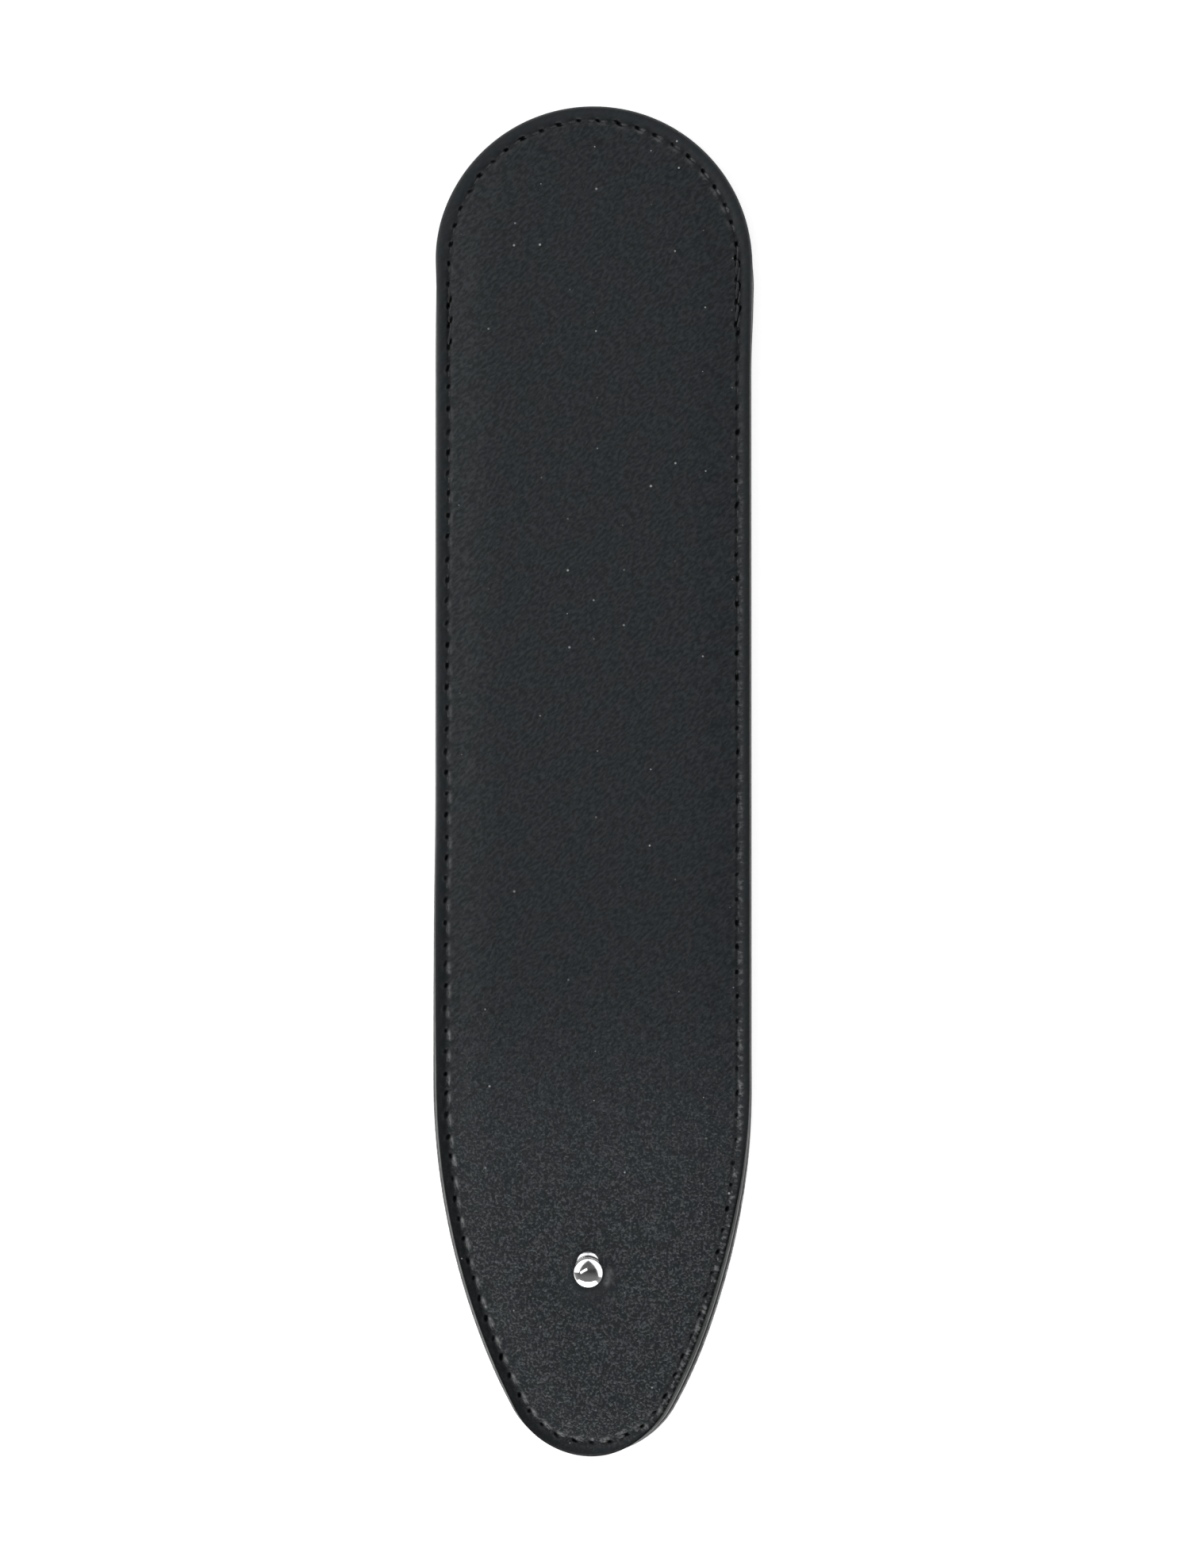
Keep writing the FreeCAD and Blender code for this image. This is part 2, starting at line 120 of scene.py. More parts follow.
def pocket_outline(s):
    """The same for the pocket's layers, whose sides run straight up to the mouth's corners."""
    x, y, nx, ny = outline_point(s)
    straight = y > TAPER_Y
    x = np.where(straight, np.sign(x) * HALF_WIDTH, x)
    return x, y, np.where(straight, np.sign(x), nx), np.where(straight, 0.0, ny)


def smoothstep(low, high, value):
    t = np.clip((value - low) / (high - low), 0, 1)
    return t * t * (3 - 2 * t)


def bell(value, width):
    """1 where value is 0 and nearly 0 beyond twice the width."""
    return np.exp(-((value / width) ** 2))


def along_sides(right, left, unit=MM):
    """A function of s from two lists of (millimetres from the top, value in units), smoothed over 6 mm.

    The first and last values hold beyond their places.
    """
    half = HALF_LOOP / MM

    def value(s):
        s = np.mod(np.asarray(s, float), LOOP) / MM
        spread = np.linspace(-3, 3, 7)
        total = np.zeros_like(s)
        for step in spread:
            at = np.mod(s + step, 2 * half)
            on_right = np.interp(at, [k[0] for k in right], [k[1] for k in right])
            on_left = np.interp(2 * half - at, [k[0] for k in left], [k[1] for k in left])
            total += np.where(at <= half, on_right, on_left)
        return total / len(spread) * unit

    return value


# How far each panel's cut edge lies inside the nominal outline. The panels were trimmed by hand, so the
# pocket side shows as a ledge along both sides and most at the lower right.
face_edge = along_sides(
    right=(
        (0, 0.08), (30, 0.03), (36, 0.05), (44, 0.33), (138, 0.33), (145, 0.45), (151, 0.66), (158, 0.8),
        (171, 0.86), (178, 0.95), (183, 0.78), (187, 0.32), (190, 0.27),
    ),
    left=((0, 0.08), (28, 0.05), (34, 0.3), (100, 0.28), (112, 0.1), (125, 0.12), (135, 0.25), (172, 0.27)),
)
pocket_edge = along_sides(
    right=(
        (29, 0.1), (32, -0.2), (37, -0.22), (42, 0.08), (134, 0.04), (144, -0.12), (158, -0.16),
        (171, -0.28), (177, -0.1), (182, 0.2), (190, 0.27),
    ),
    left=(
        (0, 0.1), (30, 0.25), (36, 0.15), (40, 0.08), (100, 0.06), (112, -0.12), (125, -0.2), (172, -0.22),
        (181, 0), (190, 0.27),
    ),
)
# How far the border leans in toward the seam: only at the lower left
border_fall = along_sides(
    right=((0, 0), (190, 0.04)),
    left=((105, 0), (125, 0.16), (176, 0.18), (190, 0.04)),
)

# The rest of this section holds shares, about 0 to 1. How pale the layers' edges are painted, for worn edge
# paint and the painted highlight their rounded edges catch:
ledge_wear_and_highlight = along_sides(
    right=((0, 0.3), (40, 0.25), (136, 0.25), (148, 0.9), (182, 0.9), (190, 0.4)),
    left=((0, 0.3), (34, 0.5), (100, 0.6), (112, 1), (176, 1), (190, 0.4)),
    unit=1,
)
# Painted shade: how far the face is darkened along its cut edge, over the border and at the corners
edge_painted_shade = along_sides(
    right=((0, 0.15), (36, 0.2), (42, 0.7), (140, 0.7), (152, 1), (184, 1), (190, 0.5)),
    left=((0, 0.15), (190, 0.5)),
    unit=1,
)
border_painted_shade = along_sides(
    right=((0, 0), (190, 0.1)),
    left=((100, 0), (122, 0.3), (145, 0.42), (182, 0.42), (190, 0.1)),
    unit=1,
)
corner_painted_shade = along_sides(
    right=((27, 0), (31, 0.5), (38, 0.5), (42, 0)),
    left=((32, 0), (36, 0.35), (41, 0.35), (45, 0)),
    unit=1,
)
# How far the border is puckered outside the seam: only along the right. The leather's material bumps these
# puckers and paints a highlight on them.
border_pucker = along_sides(
    right=((40, 0), (60, 0.4), (120, 0.6), (138, 1.2), (178, 1.2), (186, 0.2), (190, 0)),
    left=((190, 0),),
    unit=1,
)
# Painted highlight on the inner lip of each needle hole: how pale it is painted
lip_glint = along_sides(
    right=((0, 0.15), (6, 0.3), (24, 0.3), (29, 0), (176, 0.1), (182, 0.8), (190, 0.9)),
    left=((0, 0.05), (40, 0.1), (100, 0.3), (125, 0.7), (145, 1)),
    unit=1,
)

# === The perimeter seam ===
random = np.random.default_rng(11)

stitch_pitch = along_sides(
    right=((0, 2.75), (28, 2.8), (40, 3.1), (132, 3.05), (150, 2.85), (190, 2.75)),
    left=((0, 2.7), (30, 2.6), (60, 2.67), (130, 2.7), (170, 2.62), (190, 2.75)),
)
seam_inset = along_sides(
    right=(
        (0, 1.85), (14, 1.95), (26, 1.95), (34, 1.78), (44, 1.95), (132, 1.95), (150, 1.8), (172, 1.8),
        (190, 2.1),
    ),
    left=(
        (0, 1.85), (24, 1.9), (34, 1.75), (60, 1.7), (80, 1.62), (100, 1.5), (172, 1.4), (182, 1.85),
        (190, 2.1),
    ),
)


def needle_holes():
    """Distances of the needle holes along the outline, and their insets."""
    holes = [0.6 * MM]
    while holes[-1] < LOOP:
        holes.append(holes[-1] + float(stitch_pitch(np.array([holes[-1]]))[0]))
    holes = np.array(holes)
    holes = (holes[0] + (holes - holes[0]) * LOOP / (holes[-1] - holes[0]))[:-1]
    holes += random.normal(0, 0.10, len(holes)) * MM
    insets = seam_inset(holes) + random.normal(0, 0.06, len(holes)) * MM
    return holes, insets


HOLES, HOLE_INSETS = needle_holes()

# The holes of the second pass at the mouth corners
TACK_RIGHT = np.array([30.4, 33.2, 36.0, 38.8]) * MM
TACK_LEFT = LOOP - np.array([41.0, 38.4, 35.8]) * MM
TACK_SHIFT = 0.24 * MM

# All pits in the face, with their own sizes
TACK_HOLES = np.concatenate([TACK_RIGHT, TACK_LEFT])
PITS = np.concatenate([HOLES, TACK_HOLES])
PIT_INSETS = np.concatenate([HOLE_INSETS, seam_inset(TACK_HOLES) + TACK_SHIFT])
PIT_LENGTHS = 0.46 * MM * random.uniform(0.65, 1.3, len(PITS))
PIT_WIDTHS = 0.19 * MM * random.uniform(0.8, 1.2, len(PITS))
PIT_SLANTS = random.uniform(0.0, 0.45, len(PITS))
PIT_SHARES = random.uniform(0.55, 1.0, len(PITS))
LIP_DEPTHS = 0.14 * MM * random.uniform(0.75, 1.25, len(PITS))
# How strong the painted highlights are on each pit's lip and on its stitch
GLINT_SHARES = 0.55 + 0.45 * random.uniform(0, 1, len(PITS))

# Where the painted highlight on each hole's inner lip lies, and its size
LIP_GLINT_INSET = 0.42 * MM
LIP_GLINT_BELOW = 0.75 * MM
LIP_GLINT_LENGTH = 0.8 * MM
LIP_GLINT_WIDTH = 0.2 * MM

CHANNEL_DEPTH = 0.09 * MM
CHANNEL_WIDTH = 0.62 * MM
HOLE_DEPTH = 0.4 * MM
LIP_LENGTH = 0.75 * MM
LIP_WIDTH = 0.5 * MM
FIELD_START = 2.0 * MM
FIELD_END = 6.5 * MM
EDGE_ROUND = 0.42 * MM


# Columns of the meshes beside each pit, and their shares of the gap between two pits
NEAR_PIT = np.array([-0.5, -0.39, -0.27, -0.14, 0.0, 0.14, 0.27, 0.39, 0.5]) * MM
BETWEEN_PITS = np.array([0.25, 0.5, 0.75])


def seam_columns():
    """Distances along the outline where the meshes have columns, close together at each pit."""
    reach = NEAR_PIT[-1]
    pits = np.sort(PITS)
    columns = []
    for index, pit in enumerate(pits):
        following = pits[(index + 1) % len(pits)] + (LOOP if index + 1 == len(pits) else 0)
        gap = following - pit - 2 * reach
        columns += list(pit + NEAR_PIT) + list(pit + reach + gap * BETWEEN_PITS)
    columns = np.sort(np.mod(np.array(columns), LOOP))
    return columns[np.diff(columns, prepend=-1) > 0.06 * MM]


def side_columns():
    """The columns from the mouth's right corner round the tip to its left corner."""
    columns = seam_columns()
    below = columns[(columns > MOUTH_S + 0.2 * MM) & (columns < LOOP - MOUTH_S - 0.2 * MM)]
    return np.concatenate([[MOUTH_S], below, [LOOP - MOUTH_S]])


def nearest_pit(s):
    """For each s, the index of the nearest pit and the signed distance to it along the outline."""
    s = np.mod(s, LOOP)
    distance = s[:, None] - PITS[None, :]
    distance = (distance + LOOP / 2) % LOOP - LOOP / 2
    index = np.abs(distance).argmin(1)
    return index, distance[np.arange(len(s)), index]


def pit_reach(s, inset):
    """The nearest pit's index, the place along and across it, and a measure that is 1 at its rim."""
    index, offset = nearest_pit(s)
    lateral = inset - PIT_INSETS[index] - PIT_SLANTS[index] * offset
    reach = (offset / PIT_LENGTHS[index]) ** 2 + (lateral / PIT_WIDTHS[index]) ** 2
    return index, offset, lateral, reach


def seam_relief(s, inset):
    """Height of the leather beside the seam, relative to its flat border: channel, pits and small puckers."""
    index, offset, lateral, reach = pit_reach(s, inset)
    channel = -CHANNEL_DEPTH * bell(inset - seam_inset(s), CHANNEL_WIDTH)
    pit = -HOLE_DEPTH * PIT_SHARES[index] * bell(reach, 1)
    lip = -LIP_DEPTHS[index] * bell(offset, LIP_LENGTH) * bell(lateral, LIP_WIDTH)
    return channel + pit + lip


def pit_painted_shade(s, inset):
    """Painted shade in the pits: how dark they are, 0 away from them."""
    index, _, _, reach = pit_reach(s, inset)
    return 0.88 * PIT_SHARES[index] * bell(reach, 1.1)


def below_pit(s):
    """The nearest pit's index and how far each place lies below it, toward the tip."""
    index, offset = nearest_pit(s)
    return index, np.where(np.mod(s, LOOP) < HALF_LOOP, offset, -offset)


def lip_highlight(s, inset):
    """Painted highlight on the inner lips of the face's needle holes: how pale they are painted."""
    index, below = below_pit(s)
    across = bell(inset - PIT_INSETS[index] - LIP_GLINT_INSET, LIP_GLINT_WIDTH)
    along = bell(((below - LIP_GLINT_BELOW) / LIP_GLINT_LENGTH) ** 2, 1)
    return lip_glint(s) * GLINT_SHARES[index] * across * along


CHANNEL_SHADE = 0.28
CHANNEL_SHADE_WIDTH = 0.45 * MM
EDGE_SHADE_INSET = 0.12 * MM
EDGE_SHADE_WIDTH = 0.2 * MM
BORDER_SHADE = (1.1 * MM, 1.6 * MM)
CORNER_SHADE_INSET = 1.75 * MM
CORNER_SHADE_WIDTH = 0.4 * MM
DARKEST = 0.92


def border_shade(s, inset):
    """Painted shade on the face: how far it is darkened in the stitch channel, along its cut edge, over the
    border and at the mouth corners.
    """
    channel = CHANNEL_SHADE * bell(inset - seam_inset(s), CHANNEL_SHADE_WIDTH)
    edge = edge_painted_shade(s) * bell(inset - face_edge(s) - EDGE_SHADE_INSET, EDGE_SHADE_WIDTH)
    border = border_painted_shade(s) * (1 - smoothstep(*BORDER_SHADE, inset))
    corner = corner_painted_shade(s) * bell(inset - CORNER_SHADE_INSET, CORNER_SHADE_WIDTH)
    return np.clip(channel + edge + border + corner, 0, DARKEST)


def pucker_shade(s, inset):
    """1 where the border outside the seam is puckered most. The material bumps it and paints a highlight
    there.
    """
    outside = (seam_inset(s) - inset) / MM
    return border_pucker(s) * smoothstep(-0.05, 0.25, outside) * smoothstep(0.95, 0.5, outside)


def rounded(depth, radius):
    """How far a rounded edge drops below the surface at that depth in from the edge."""
    inside = np.clip(radius - depth, 0, radius)
    return radius - np.sqrt(np.maximum(radius**2 - inside**2, 0))


# === Building plates ===


def place_object(name, data):
    made = bpy.data.objects.new(name, data)
    bpy.context.scene.collection.objects.link(made)
    return made


def new_object(name, vertices, faces, material):
    mesh = bpy.data.meshes.new(name)
    mesh.from_pydata(np.asarray(vertices).tolist(), [], faces)
    mesh.materials.append(material)
    mesh.update()
    return place_object(name, mesh)


def store(work, mesh):
    """Writes an edited mesh back and shades it smooth."""
    work.to_mesh(mesh)
    work.free()
    mesh.polygons.foreach_set("use_smooth", [True] * len(mesh.polygons))
    mesh.update()


def clean(made, merge=0.0005 * MM):
    """Welds coincident points, drops empty faces, turns the normals outward and shades smooth."""
    work = bmesh.new()
    work.from_mesh(made.data)
    bmesh.ops.remove_doubles(work, verts=work.verts, dist=merge)
    bmesh.ops.dissolve_degenerate(work, edges=work.edges, dist=merge)
    bmesh.ops.recalc_face_normals(work, faces=work.faces)
    store(work, made.data)
    return made


def paint(made, name, value):
    """Stores value(x, y, z) at every vertex for the materials to read."""
    mesh = made.data
    places = np.zeros(len(mesh.vertices) * 3)
    mesh.vertices.foreach_get("co", places)
    places = places.reshape(-1, 3)
    attribute = mesh.attributes.new(name, "FLOAT", "POINT")
    attribute.data.foreach_set("value", value(*places.T).astype(np.float32))


def grid_faces(rows, columns):
    """Faces of a grid whose columns close on themselves."""
    faces = []
    for row in range(rows - 1):
        a = row * columns
        b = a + columns
        faces += [(a + j, a + (j + 1) % columns, b + (j + 1) % columns, b + j) for j in range(columns)]
    return faces


def tube_faces(rows, columns):
    """The same with its first and last row closed."""
    last = (rows - 1) * columns
    ends = [tuple(range(columns))[::-1], tuple(range(last, last + columns))]
    return grid_faces(rows, columns) + ends


MOUTH_COLUMNS = 60


class Shape:
    """A closed outline with columns of points that can be moved inward without crossing."""

    def __init__(self, mouth):
        self.mouth = mouth
        self.s = side_columns() if mouth else seam_columns()
        self.across = np.full(len(self.s), np.nan)
        if mouth:
            across = np.linspace(-1, 1, 2 * MOUTH_COLUMNS + 1)[1:-1]
            self.s = np.concatenate([self.s, np.zeros(len(across))])
            self.across = np.concatenate([self.across, across])
        self.on_mouth = ~np.isnan(self.across)

    def place(self, inset):
        """x and y of each column's point at that inset, which may differ from column to column."""
        if not self.mouth:
            x, y, nx, ny = outline_point(self.s)
            return x - nx * inset, y - ny * inset
        x, y, nx, ny = pocket_outline(self.s)
        near_mouth = np.clip(1 - (MOUTH_Y - y) / (8 * MM), 0, 1) * (y > TAPER_Y)
        y = np.minimum(y, MOUTH_Y) - inset * near_mouth
        x = np.where(self.on_mouth, self.across * (HALF_WIDTH - inset), x - nx * inset)
        y = np.where(self.on_mouth, MOUTH_Y - inset, y - ny * inset)
        return x, y

    def spine(self):
        """The point on the middle line that each column runs to."""
        _, y, _, _ = outline_point(self.s)
        top = MOUTH_Y - HALF_WIDTH if self.mouth else TOP_CENTRE_Y
        y = np.where(self.on_mouth, top, y)
        return np.zeros_like(y), np.clip(y, NOSE_CENTRE_Y, top)

    def surface(self, edge, insets, steps, height):
        """Rows of points from the edge inward and on to the middle line, at height(s, inset)."""
        last = insets[-1]
        rows = []
        for inset in insets:
            at = edge + inset * (last - edge) / last
            x, y = self.place(at)
            rows.append((x, y, at))
        start_x, start_y, start = rows[-1]
        end_x, end_y = self.spine()
        for step in range(1, steps + 1):
            t = step / steps
            x = start_x + (end_x - start_x) * t
            y = start_y + (end_y - start_y) * t
            rows.append((x, y, start + np.hypot(end_x - start_x, end_y - start_y) * t))
        return [np.stack([x, y, height(self.s, at)], 1) for x, y, at in rows]


ROUND_ROWS = np.array([0, 0.03, 0.08, 0.15, 0.24, 0.34, 0.46, 0.65, 0.85, 1.02]) * MM
SEAM_ROWS = np.arange(1.14, 2.7, 0.11) * MM
FIELD_ROWS = np.array([2.8, 3.0, 3.25, 3.5, 3.8, 4.2, 4.8]) * MM
PANEL_ROWS = np.concatenate([ROUND_ROWS, SEAM_ROWS, FIELD_ROWS])
PLAIN_ROWS = np.array([0, 0.05, 0.13, 0.25, 0.45, 0.8, 4.8]) * MM


def plate(name, shape, edge, upper_rows, upper, lower_rows, lower, material):
    """A closed plate between the heights upper and lower, with the shape's outline moved in by edge."""
    top = shape.surface(edge, upper_rows, len(upper_rows) // 4 + 1, upper)
    bottom = shape.surface(edge, lower_rows, len(lower_rows) // 4 + 1, lower)
    rows = top[::-1] + bottom
    return clean(new_object(name, np.concatenate(rows), grid_faces(len(rows), len(shape.s)), material))


def rivet_distance(x, y):
    return np.hypot(x - RIVET_X, y - RIVET_Y)


def rivet_pucker(x, y):
    """1 on the crest of the small fold that setting the rivet has left at its right."""
    distance = rivet_distance(x, y) / MM
    toward_right = np.cos(np.arctan2(y - RIVET_Y, x - RIVET_X) + math.radians(12))
    return smoothstep(0.85, 1.0, toward_right) * bell(distance - 2.6, 0.4)


def washer_dent(x, y):
    """How far the leather sinks around the washer. It laps over the washer except at the upper side."""
    distance = rivet_distance(x, y) / MM
    side = np.cos(np.arctan2(y - RIVET_Y, x - RIVET_X) - math.radians(92))
    dimple = -0.13 * bell(distance, 4.0)
    bare = smoothstep(0.71, 1.04, side)
    lap = (0.24 - 0.36 * bare) * bell(distance - 2.15, 0.9)
    return (dimple + lap + 0.13 * rivet_pucker(x, y)) * MM


def back_cap_dent(x, y):
    """How far the leather sinks around the back cap."""
    distance = rivet_distance(x, y) / MM
    return (-0.10 * bell(distance, 4.5) - 0.3 * smoothstep(2.62, 2.42, distance)) * MM


# How far from the rivet the panels are refined and pressed, and how long an edge may be there
PRESS_REACH = 7 * MM
FINE_REACH = 3.3 * MM
FINE_EDGE = 0.15 * MM
COARSE_EDGE = 0.4 * MM


def press(made, dent, sign):
    """Refines the outer surface around the rivet and sinks it by dent(x, y)."""
    work = bmesh.new()
    work.from_mesh(made.data)
    middle = sum(vertex.co.z for vertex in work.verts) / len(work.verts)

    def is_near(vertex):
        outside = (vertex.co.z - middle) * sign > 0
        return outside and rivet_distance(vertex.co.x, vertex.co.y) < PRESS_REACH

    def is_long(edge):
        away = max(rivet_distance(vertex.co.x, vertex.co.y) for vertex in edge.verts)
        limit = FINE_EDGE if away < FINE_REACH else COARSE_EDGE
        return edge.calc_length() > limit and all(is_near(vertex) for vertex in edge.verts)

    for _ in range(4):
        long_edges = [edge for edge in work.edges if is_long(edge)]
        bmesh.ops.subdivide_edges(work, edges=long_edges, cuts=1, use_grid_fill=True)
    for vertex in work.verts:
        if is_near(vertex):
            vertex.co.z += sign * float(dent(vertex.co.x, vertex.co.y))
    store(work, made.data)


def panel_height(s, inset, edge, border, sign):
    """Outer surface of a formed panel. sign is 1 when it faces up and -1 when it faces down."""
    drop = rounded(inset - edge, EDGE_ROUND)
    crown = 0.06 * MM * np.sin(np.clip((inset - edge) / (1.7 * MM), 0, 1) * math.pi)
    fall = border_fall(s) * (1 - smoothstep(0.2 * MM, 1.7 * MM, inset))
    field = (BOARD - 0.02 * MM) * smoothstep(FIELD_START, FIELD_END, inset)
    return border + sign * (crown + fall - drop + field + seam_relief(s, inset))


def make_face_leather(material):
    shape = Shape(mouth=False)
    edge = face_edge(shape.s)

    def upper(s, inset):
        return panel_height(s, inset, edge, FACE_BORDER_Z, 1)

    def lower(s, inset):
        return FACE_LOW.z + rounded(inset - edge, 0.12 * MM)

    made = plate("face_leather", shape, edge, PANEL_ROWS, upper, PLAIN_ROWS, lower, material)
    press(made, washer_dent, 1)
    return made


def make_pocket_leather(material):
    shape = Shape(mouth=True)
    edge = np.where(shape.on_mouth, 0, pocket_edge(shape.s))

    def lower(s, inset):
        return panel_height(s, inset, edge, POCKET_BORDER_Z, -1)

    def upper(s, inset):
        return POCKET_HIGH.z - rounded(inset - edge, 0.22 * MM)

    made = plate("pocket_leather", shape, edge, PLAIN_ROWS, upper, PANEL_ROWS, lower, material)
    press(made, back_cap_dent, -1)
    return made


LAYER_ROUND = 0.1 * MM
TRIM = 0.03 * MM


def layer_edge(s, share):
    """The edge of a layer between the two panels: just inside the face's edge at 0, the pocket's at 1."""
    return face_edge(s) * (1 - share) + pocket_edge(s) * share + TRIM


def make_flat_layer(name, mouth, share, box, material):
    """A flat layer between the two panels, as high as its box."""
    low, high = box
    shape = Shape(mouth)
    edge = np.where(shape.on_mouth, 0, layer_edge(shape.s, share))

    def upper(s, inset):
        return high.z - rounded(inset - edge, LAYER_ROUND)

    def lower(s, inset):
        return low.z + rounded(inset - edge, LAYER_ROUND)

    return plate(name, shape, edge, PLAIN_ROWS, upper, PLAIN_ROWS, lower, material)


FACING_STEPS = 40
FACING_TUCK = 0.4 * MM
FACING_BULGE = 0.3 * MM
EDGE_BULGE = 0.22 * MM


def make_facing(material):
    """The facing strip inside the mouth, with a rounded lip. Its right end bulges out between the layers."""
    half = (FACING_HIGH.z - FACING_LOW.z) / 2
    middle = FACING_LOW.z + half
    turns = np.linspace(-1.57, 1.57, 9)
    lip = [(MOUTH_Y - half + half * math.cos(turn), middle + half * math.sin(turn)) for turn in turns]
    down = np.linspace(MOUTH_Y - half, FACING_LOW.y, 12)[1:]
    section = lip + [(y, FACING_HIGH.z) for y in down] + [(y, FACING_LOW.z) for y in down[::-1]]
    left = FACING_LOW.x + FACING_TUCK
    vertices = []
    for share in np.linspace(0, 1, FACING_STEPS):
        for y, z in section:
            bulge = math.sin(math.pi * (MOUTH_Y - y) / (MOUTH_Y - FACING_LOW.y))
            right = FACING_HIGH.x - 0.1 * MM + FACING_BULGE * bulge
            vertices.append((left + (right - left) * share, y, z))
    return clean(new_object("facing_strip", vertices, tube_faces(FACING_STEPS, len(section)), material))


def make_welt(material):
    """The U-shaped spacer strip, its cut edge rounded and painted."""
    s = side_columns()
    edge = layer_edge(s, 0.55)
    x, y, nx, ny = pocket_outline(s)
    low, high = WELT_LOW.z, WELT_HIGH.z
    middle, half = (low + high) / 2, (high - low) / 2
    turns = np.linspace(-1.45, 1.45, 9)
    section = [(edge + EDGE_BULGE * (1 - math.cos(turn)), middle + half * math.sin(turn)) for turn in turns]
    section += [(WELT_WIDTH, high), (WELT_WIDTH, low)]
    rings = [np.stack([x - nx * inset, y - ny * inset, np.full(len(s), z)], 1) for inset, z in section]
    vertices = np.stack(rings, 1).reshape(-1, 3)
    return clean(new_object("welt_strip", vertices, tube_faces(len(s), len(rings)), material))


# === Materials ===


class Nodes:
    """A short way to write the nodes of a material or a world."""

    def __init__(self, owner, space="Object"):
        owner.use_nodes = True
        self.owner = owner
        self.tree = owner.node_tree
        self.place = self.add("ShaderNodeTexCoord").outputs[space]

    def add(self, kind, **settings):
        node = self.tree.nodes.new(kind)
        for key, value in settings.items():
            setattr(node, key, value)
        return node

    def link(self, source, target):
        self.tree.links.new(source, target)

    def stretched(self, stretch, degrees=0.0):
        """Coordinates that stretch a texture by the given factors along axes turned about Z."""
        node = self.add("ShaderNodeMapping", vector_type="TEXTURE")
        node.inputs["Rotation"].default_value = (0, 0, math.radians(degrees))
        node.inputs["Scale"].default_value = stretch
        self.link(self.place, node.inputs["Vector"])
        return node.outputs["Vector"]

    def noise(self, scale, detail=3.0, rough=0.55, vector=None, distortion=0.0):
        node = self.add("ShaderNodeTexNoise")
        node.inputs["Scale"].default_value = scale
        node.inputs["Detail"].default_value = detail
        node.inputs["Roughness"].default_value = rough
        node.inputs["Distortion"].default_value = distortion
        self.link(vector or self.place, node.inputs["Vector"])
        return node.outputs["Fac"]

    def cells(self, scale):
        node = self.add("ShaderNodeTexVoronoi", feature="SMOOTH_F1")
        node.inputs["Scale"].default_value = scale
        self.link(self.place, node.inputs["Vector"])
        return node.outputs["Distance"]

    def put(self, value, target):
        """Links a socket to target, or sets target to a number or colour."""
        if isinstance(value, tuple):
            target.default_value = (*value, 1)
        elif isinstance(value, (int, float)):
            target.default_value = value
        else:
            self.link(value, target)

    def math(self, operation, *values):
        node = self.add("ShaderNodeMath", operation=operation)
        for index, value in enumerate(values):
            self.put(value, node.inputs[index])
        return node.outputs[0]

    def ramp(self, value, low, high, start=0.0, end=1.0):
        """Maps value from low..high to start..end, clamped and smooth."""
        node = self.add("ShaderNodeMapRange", interpolation_type="SMOOTHSTEP")
        for name, number in (("From Min", low), ("From Max", high), ("To Min", start), ("To Max", end)):
            node.inputs[name].default_value = number
        self.link(value, node.inputs["Value"])
        return node.outputs["Result"]

    def product(self, *factors):
        total = factors[0]
        for factor in factors[1:]:
            total = self.math("MULTIPLY", total, factor)
        return total

    def scaled(self, colour, factor):
        node = self.add("ShaderNodeVectorMath", operation="SCALE")
        self.link(colour, node.inputs[0])
        self.link(factor, node.inputs["Scale"])
        return node.outputs[0]

    def blend(self, factor, first, second):
        node = self.add("ShaderNodeMix", data_type="FLOAT")
        for index, value in ((0, factor), (2, first), (3, second)):
            self.link(value, node.inputs[index])
        return node.outputs[0]

    def mix(self, factor, first, second):
        node = self.add("ShaderNodeMix", data_type="RGBA")
        for index, value in ((0, factor), (6, first), (7, second)):
            self.put(value, node.inputs[index])
        return node.outputs[2]

    def attribute(self, name):
        return self.add("ShaderNodeAttribute", attribute_name=name).outputs["Fac"]

    def along(self, axis):
        node = self.add("ShaderNodeSeparateXYZ")
        self.link(self.place, node.inputs[0])
        return node.outputs[axis]

    def bump(self, height, distance, strength=1.0, below=None):
        node = self.add("ShaderNodeBump")
        node.inputs["Distance"].default_value = distance
        self.put(strength, node.inputs["Strength"])
        self.link(height, node.inputs["Height"])
        if below is not None:
            self.link(below, node.inputs["Normal"])
        return node.outputs["Normal"]

    def finish(self, colour, roughness, normal=None, gloss=None, **values):
        shader = self.tree.nodes["Principled BSDF"]
        names = ("Base Color", "Roughness", "Normal", "Specular IOR Level")
        for name, source in zip(names, (colour, roughness, normal, gloss)):
            if source is not None:
                self.put(source, shader.inputs[name])
        for name, value in values.items():
            shader.inputs[name.replace("_", " ")].default_value = value
        return self.owner


def dust(n, pitch, share):
    """Sparse round specks, one in some of the cells of a grid of that pitch."""
    cells = n.add("ShaderNodeTexVoronoi", voronoi_dimensions="2D")
    cells.inputs["Scale"].default_value = 1 / pitch
    n.link(n.place, cells.inputs["Vector"])
    split = n.add("ShaderNodeSeparateColor")
    n.link(cells.outputs["Color"], split.inputs[0])
    chosen = n.math("LESS_THAN", split.outputs[0], share)
    radius = n.ramp(split.outputs[1], 0.2, 1.0, 0.024, 0.055)
    speck = n.ramp(n.math("DIVIDE", cells.outputs["Distance"], radius), 1.0, 0.55)
    return n.product(speck, chosen, n.ramp(split.outputs[2], 0.0, 1.0, 0.25, 1.0))


